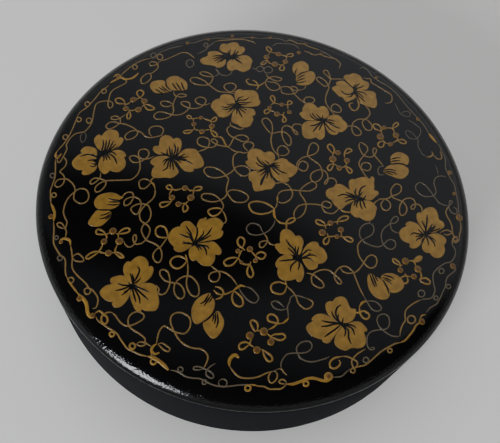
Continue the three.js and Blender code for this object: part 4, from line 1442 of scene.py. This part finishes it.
def brushed_tree():
    """Brush strokes along paths: low beads of paint, as wide as each vertex says, that thin out
    towards their ends."""
    tree, given = new_tree("brushed", {
        "Lid": "NodeSocketObject",
        "Step": "NodeSocketFloat",
        "Taper": "NodeSocketFloat",
        "Tip Share": "NodeSocketFloat",
        "Height Share": "NodeSocketFloat",
        "Lift": "NodeSocketVector",
        "Sides": "NodeSocketInt",
        "Material": "NodeSocketMaterial",
    })
    path = smooth_path(tree, given["Geometry"], given["Step"])
    level = add(tree, "GeometryNodeSetCurveNormal", {0: path.outputs[0]}, mode="Z_UP")
    gone = add(tree, "GeometryNodeSplineParameter", {}).outputs["Length"]
    whole = add(tree, "GeometryNodeSplineLength", {}).outputs["Length"]
    left = add(tree, "ShaderNodeMath", {0: whole, 1: gone}, operation="SUBTRACT")
    nearer = add(tree, "ShaderNodeMath", {0: gone, 1: left.outputs[0]}, operation="MINIMUM")
    tapered = add(tree, "ShaderNodeMapRange", {
        "Value": nearer.outputs[0],
        "From Max": given["Taper"],
        "To Min": given["Tip Share"],
    }, interpolation_type="SMOOTHSTEP")
    ring = add(tree, "GeometryNodeInputSplineCyclic", {}).outputs[0]
    fullness = add(tree, "ShaderNodeMath", {0: tapered.outputs[0], 1: ring}, operation="MAXIMUM")
    width = add(tree, "GeometryNodeInputNamedAttribute", {"Name": "width"}, data_type="FLOAT")
    radius = add(tree, "ShaderNodeMath", {0: width.outputs[0], 1: 0.5}, operation="MULTIPLY")
    scale = add(tree, "ShaderNodeMath", {0: radius.outputs[0], 1: fullness.outputs[0]},
                operation="MULTIPLY")
    section = add(tree, "GeometryNodeCurvePrimitiveCircle", {
        "Resolution": given["Sides"],
        "Radius": 1,
    }, mode="RADIUS")
    squash = add(tree, "ShaderNodeCombineXYZ", {"X": 1, "Y": given["Height Share"], "Z": 1})
    flat = add(tree, "GeometryNodeTransform", {"Geometry": section.outputs[0], "Scale": squash.outputs[0]})
    bead = add(tree, "GeometryNodeCurveToMesh", {
        "Curve": level.outputs[0],
        "Profile Curve": flat.outputs[0],
        "Scale": scale.outputs[0],
        "Fill Caps": True,
    })
    lifted = add(tree, "GeometryNodeTransform", {"Geometry": bead.outputs[0], "Translation": given["Lift"]})
    laid = draped(tree, lifted.outputs[0], given["Lid"])
    soft = add(tree, "GeometryNodeSetShadeSmooth", {0: laid, "Shade Smooth": True})
    return finish_tree(tree, soft.outputs[0], given["Material"])


def filled_tree():
    """Closed outlines filled with an even coat of paint."""
    tree, given = new_tree("filled", {
        "Lid": "NodeSocketObject",
        "Step": "NodeSocketFloat",
        "Coat": "NodeSocketVector",
        "Sink": "NodeSocketVector",
        "Merge Distance": "NodeSocketFloat",
        "Crease": "NodeSocketFloat",
        "Material": "NodeSocketMaterial",
    })
    path = smooth_path(tree, given["Geometry"], given["Step"])
    number = add(tree, "GeometryNodeInputIndex", {})
    sheet = add(tree, "GeometryNodeFillCurve", {
        "Curve": path.outputs[0],
        "Group ID": number.outputs[0],
    })
    back = add(tree, "GeometryNodeFlipFaces", {0: sheet.outputs[0]})
    coat = add(tree, "GeometryNodeExtrudeMesh", {
        "Mesh": sheet.outputs[0],
        "Offset": given["Coat"],
        "Individual": False,
    })
    both = add(tree, "GeometryNodeJoinGeometry", {0: coat.outputs[0]})
    tree.links.new(back.outputs[0], both.inputs[0])
    closed = add(tree, "GeometryNodeMergeByDistance", {
        "Geometry": both.outputs[0],
        "Distance": given["Merge Distance"],
    })
    sunk = add(tree, "GeometryNodeTransform", {"Geometry": closed.outputs[0], "Translation": given["Sink"]})
    laid = draped(tree, sunk.outputs[0], given["Lid"])
    return finish_tree(tree, creased(tree, laid, given["Crease"]), given["Material"])


def dotted_tree():
    """Drops of paint: low domes, as wide as each vertex says. Their core is marked for the paint."""
    tree, given = new_tree("dotted", {
        "Lid": "NodeSocketObject",
        "Segments": "NodeSocketInt",
        "Rings": "NodeSocketInt",
        "Height": "NodeSocketFloat",
        "Material": "NodeSocketMaterial",
    })
    dome = add(tree, "GeometryNodeMeshUVSphere", {
        "Segments": given["Segments"],
        "Rings": given["Rings"],
        "Radius": 1,
    })
    place = add(tree, "GeometryNodeInputPosition", {})
    height = add(tree, "ShaderNodeSeparateXYZ", {0: place.outputs[0]}).outputs["Z"]
    core = add(tree, "ShaderNodeMath", {0: height, 1: 0}, operation="MAXIMUM")
    marked = add(tree, "GeometryNodeStoreNamedAttribute", {
        "Geometry": dome.outputs[0],
        "Name": "core",
        "Value": core.outputs[0],
    }, data_type="FLOAT", domain="POINT")
    radius = add(tree, "GeometryNodeInputNamedAttribute", {"Name": "radius"}, data_type="FLOAT").outputs[0]
    size = add(tree, "ShaderNodeCombineXYZ", {"X": radius, "Y": radius, "Z": given["Height"]})
    drops = add(tree, "GeometryNodeInstanceOnPoints", {
        "Points": given["Geometry"],
        "Instance": marked.outputs[0],
        "Scale": size.outputs[0],
    })
    real = add(tree, "GeometryNodeRealizeInstances", {0: drops.outputs[0]})
    laid = draped(tree, real.outputs[0], given["Lid"])
    soft = add(tree, "GeometryNodeSetShadeSmooth", {0: laid, "Shade Smooth": True})
    return finish_tree(tree, soft.outputs[0], given["Material"])


BRUSHED = brushed_tree()
FILLED = filled_tree()
DOTTED = dotted_tree()

# How the paint lies
STROKE_STEP = 0.3 * MM
STROKE_SIDES = 8
STROKE_TAPER = 1.2 * MM
STROKE_TIP_SHARE = 0.5
STROKE_HEIGHT_SHARE = 0.16
COAT = 0.05 * MM
SINK = 0.01 * MM
COAT_STEP = 0.35 * MM
VEIN_ROOT = 0.36 * MM
VEIN_TIP = 0.4 * MM
VEIN_BEND_SHARE = 0.1
DROP_HEIGHT = 0.1 * MM
DROP_SEGMENTS = 12
DROP_RINGS = 6
CURL_POINTS = 8


def strokes(name, paths, widths, fades, material, lift=0, closed=False):
    """Brush strokes through points of the lid. Each path has its widths, and how worn it is."""
    seed, owners = new_seed(name, paths, closed)
    set_values(seed, "width", [width for row in widths for width in row])
    set_values(seed, "fade", [fades[owner] for owner in owners])
    return grown(name, seed, BRUSHED, {
        "Lid": lid_top,
        "Step": STROKE_STEP,
        "Taper": STROKE_TAPER,
        "Tip Share": STROKE_TIP_SHARE,
        "Height Share": STROKE_HEIGHT_SHARE,
        "Lift": (0, 0, lift),
        "Sides": STROKE_SIDES,
        "Material": material,
    })


def lines(name, rows, material, closed=False):
    """Strokes of an even width, from rows of a brush and the spots that it passes."""
    paths = [[on_lid(spot) for spot in spots] for _, spots in rows]
    widths = [[brush[0]] * len(spots) for brush, spots in rows]
    return strokes(name, paths, widths, [brush[1] for brush, _ in rows], material, closed=closed)


def curl(across, down, radius):
    """The spots round a small circle."""
    turns = [2 * math.pi * step / CURL_POINTS for step in range(CURL_POINTS)]
    return [(across + radius * math.cos(turn), down + radius * math.sin(turn)) for turn in turns]


def coats(name, outlines, material):
    """Closed outlines filled with paint."""
    seed, _ = new_seed(name, [[on_lid(spot) for spot in outline] for outline in outlines], closed=True)
    return grown(name, seed, FILLED, {
        "Lid": lid_top,
        "Step": COAT_STEP,
        "Coat": (0, 0, COAT),
        "Sink": (0, 0, -SINK),
        "Merge Distance": MERGE_DISTANCE,
        "Crease": CREASE,
        "Material": material,
    })


def drops(name, spots, material):
    """Drops of paint, from rows of across, down and radius."""
    centres = [on_lid(spot[:2]) for spot in spots]
    seed, _ = new_seed(name, [[centre] for centre in centres])
    sides = [on_lid((across + radius, down)) for across, down, radius in spots]
    set_values(seed, "radius", [(side - centre).length for side, centre in zip(sides, centres)])
    return grown(name, seed, DOTTED, {
        "Lid": lid_top,
        "Segments": DROP_SEGMENTS,
        "Rings": DROP_RINGS,
        "Height": DROP_HEIGHT,
        "Material": material,
    })


def vein(spots, eye=None):
    """A vein's points, from its tip. On a flower it runs on to the eye, in a bend if it is given as
    a tip alone."""
    path = [on_lid(spot) for spot in spots]
    if eye:
        root = on_lid(eye)
        if len(path) == 1:
            run = root - path[0]
            aside = Vector((-run.y, run.x, 0)) * VEIN_BEND_SHARE * math.copysign(1, run.x * run.y)
            path.append(path[0] + run / 2 + aside)
        path.append(root)
    return path


def veins(name, material):
    """Black veins on the petals, brushed in lacquer on top of the gold."""
    paths = [vein(spots, eye) for eye, _, rows in FLOWERS.values() for spots in rows]
    paths += [vein(spots) for _, rows in BUDS.values() for spots in rows]
    spans = [range(len(path)) for path in paths]
    widths = [[VEIN_TIP + (VEIN_ROOT - VEIN_TIP) * step / (len(span) - 1) for step in span]
              for span in spans]
    return strokes(name, paths, widths, [0] * len(paths), material, lift=COAT)


# The pieces, each with its finish and the body that it rides

gloss = polished_lacquer()
satin = satin_lacquer()
gold = gold_paint()

for make, material, body, slot in (
    (base_floor, satin, "base", "satin_lacquer"),
    (base_wall, satin, "base", "satin_lacquer"),
    (base_collar, satin, "base", "satin_lacquer"),
    (lid_hoop, gloss, "lid", "gloss_lacquer"),
    (lid_board, gloss, "lid", "gloss_lacquer"),
):
    piece = make(material)
    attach(piece, body)
    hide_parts(make.__name__)

lid_top = bpy.data.objects["lid_top"]
petals = [petal for _, outlines, _ in FLOWERS.values() for petal in outlines]
petals += [petal for outlines, _ in BUDS.values() for petal in outlines] + LEAVES
vines = FAR_VINES + RIGHT_VINES + NEAR_VINES + LEFT_VINES
tendrils = FAR_TENDRILS + LEFT_TENDRILS + MIDDLE_TENDRILS + RIGHT_TENDRILS + NEAR_TENDRILS
curls = [(brush, curl(*spot)) for brush, spots in CURLS.items() for spot in spots]
sprigs = [(BRIGHT, spots) for _, rows in WREATHS.values() for spots in rows]
berries = [berry for row, _ in WREATHS.values() for berry in row]

for piece in (
    coats("petals", petals, gold),
    lines("petal_rims", [(RIM, petal) for petal in petals], gold, closed=True),
    lines("edge_vines", vines, gold),
    lines("tendrils", tendrils, gold),
    lines("curls", curls, gold, closed=True),
    lines("wreath_sprigs", sprigs, gold),
    drops("wreath_berries", berries, gold),
    drops("vine_drops", DROPS, gold),
):
    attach(piece, "lid")

lacquer_veins = veins("petal_veins", gloss)
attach(lacquer_veins, "lid")

# The stage, the light and the camera

table()
room()
lamp("window", azimuth=239, elevation=14, distance=0.9, width=0.36, height=0.36, power=14,
     colour=DAYLIGHT_COLOUR)
lamp("overhead", azimuth=150, elevation=75, distance=1.6, width=1.8, height=1.8, power=16,
     colour=DAYLIGHT_COLOUR, mirrored=False)
photo_camera()
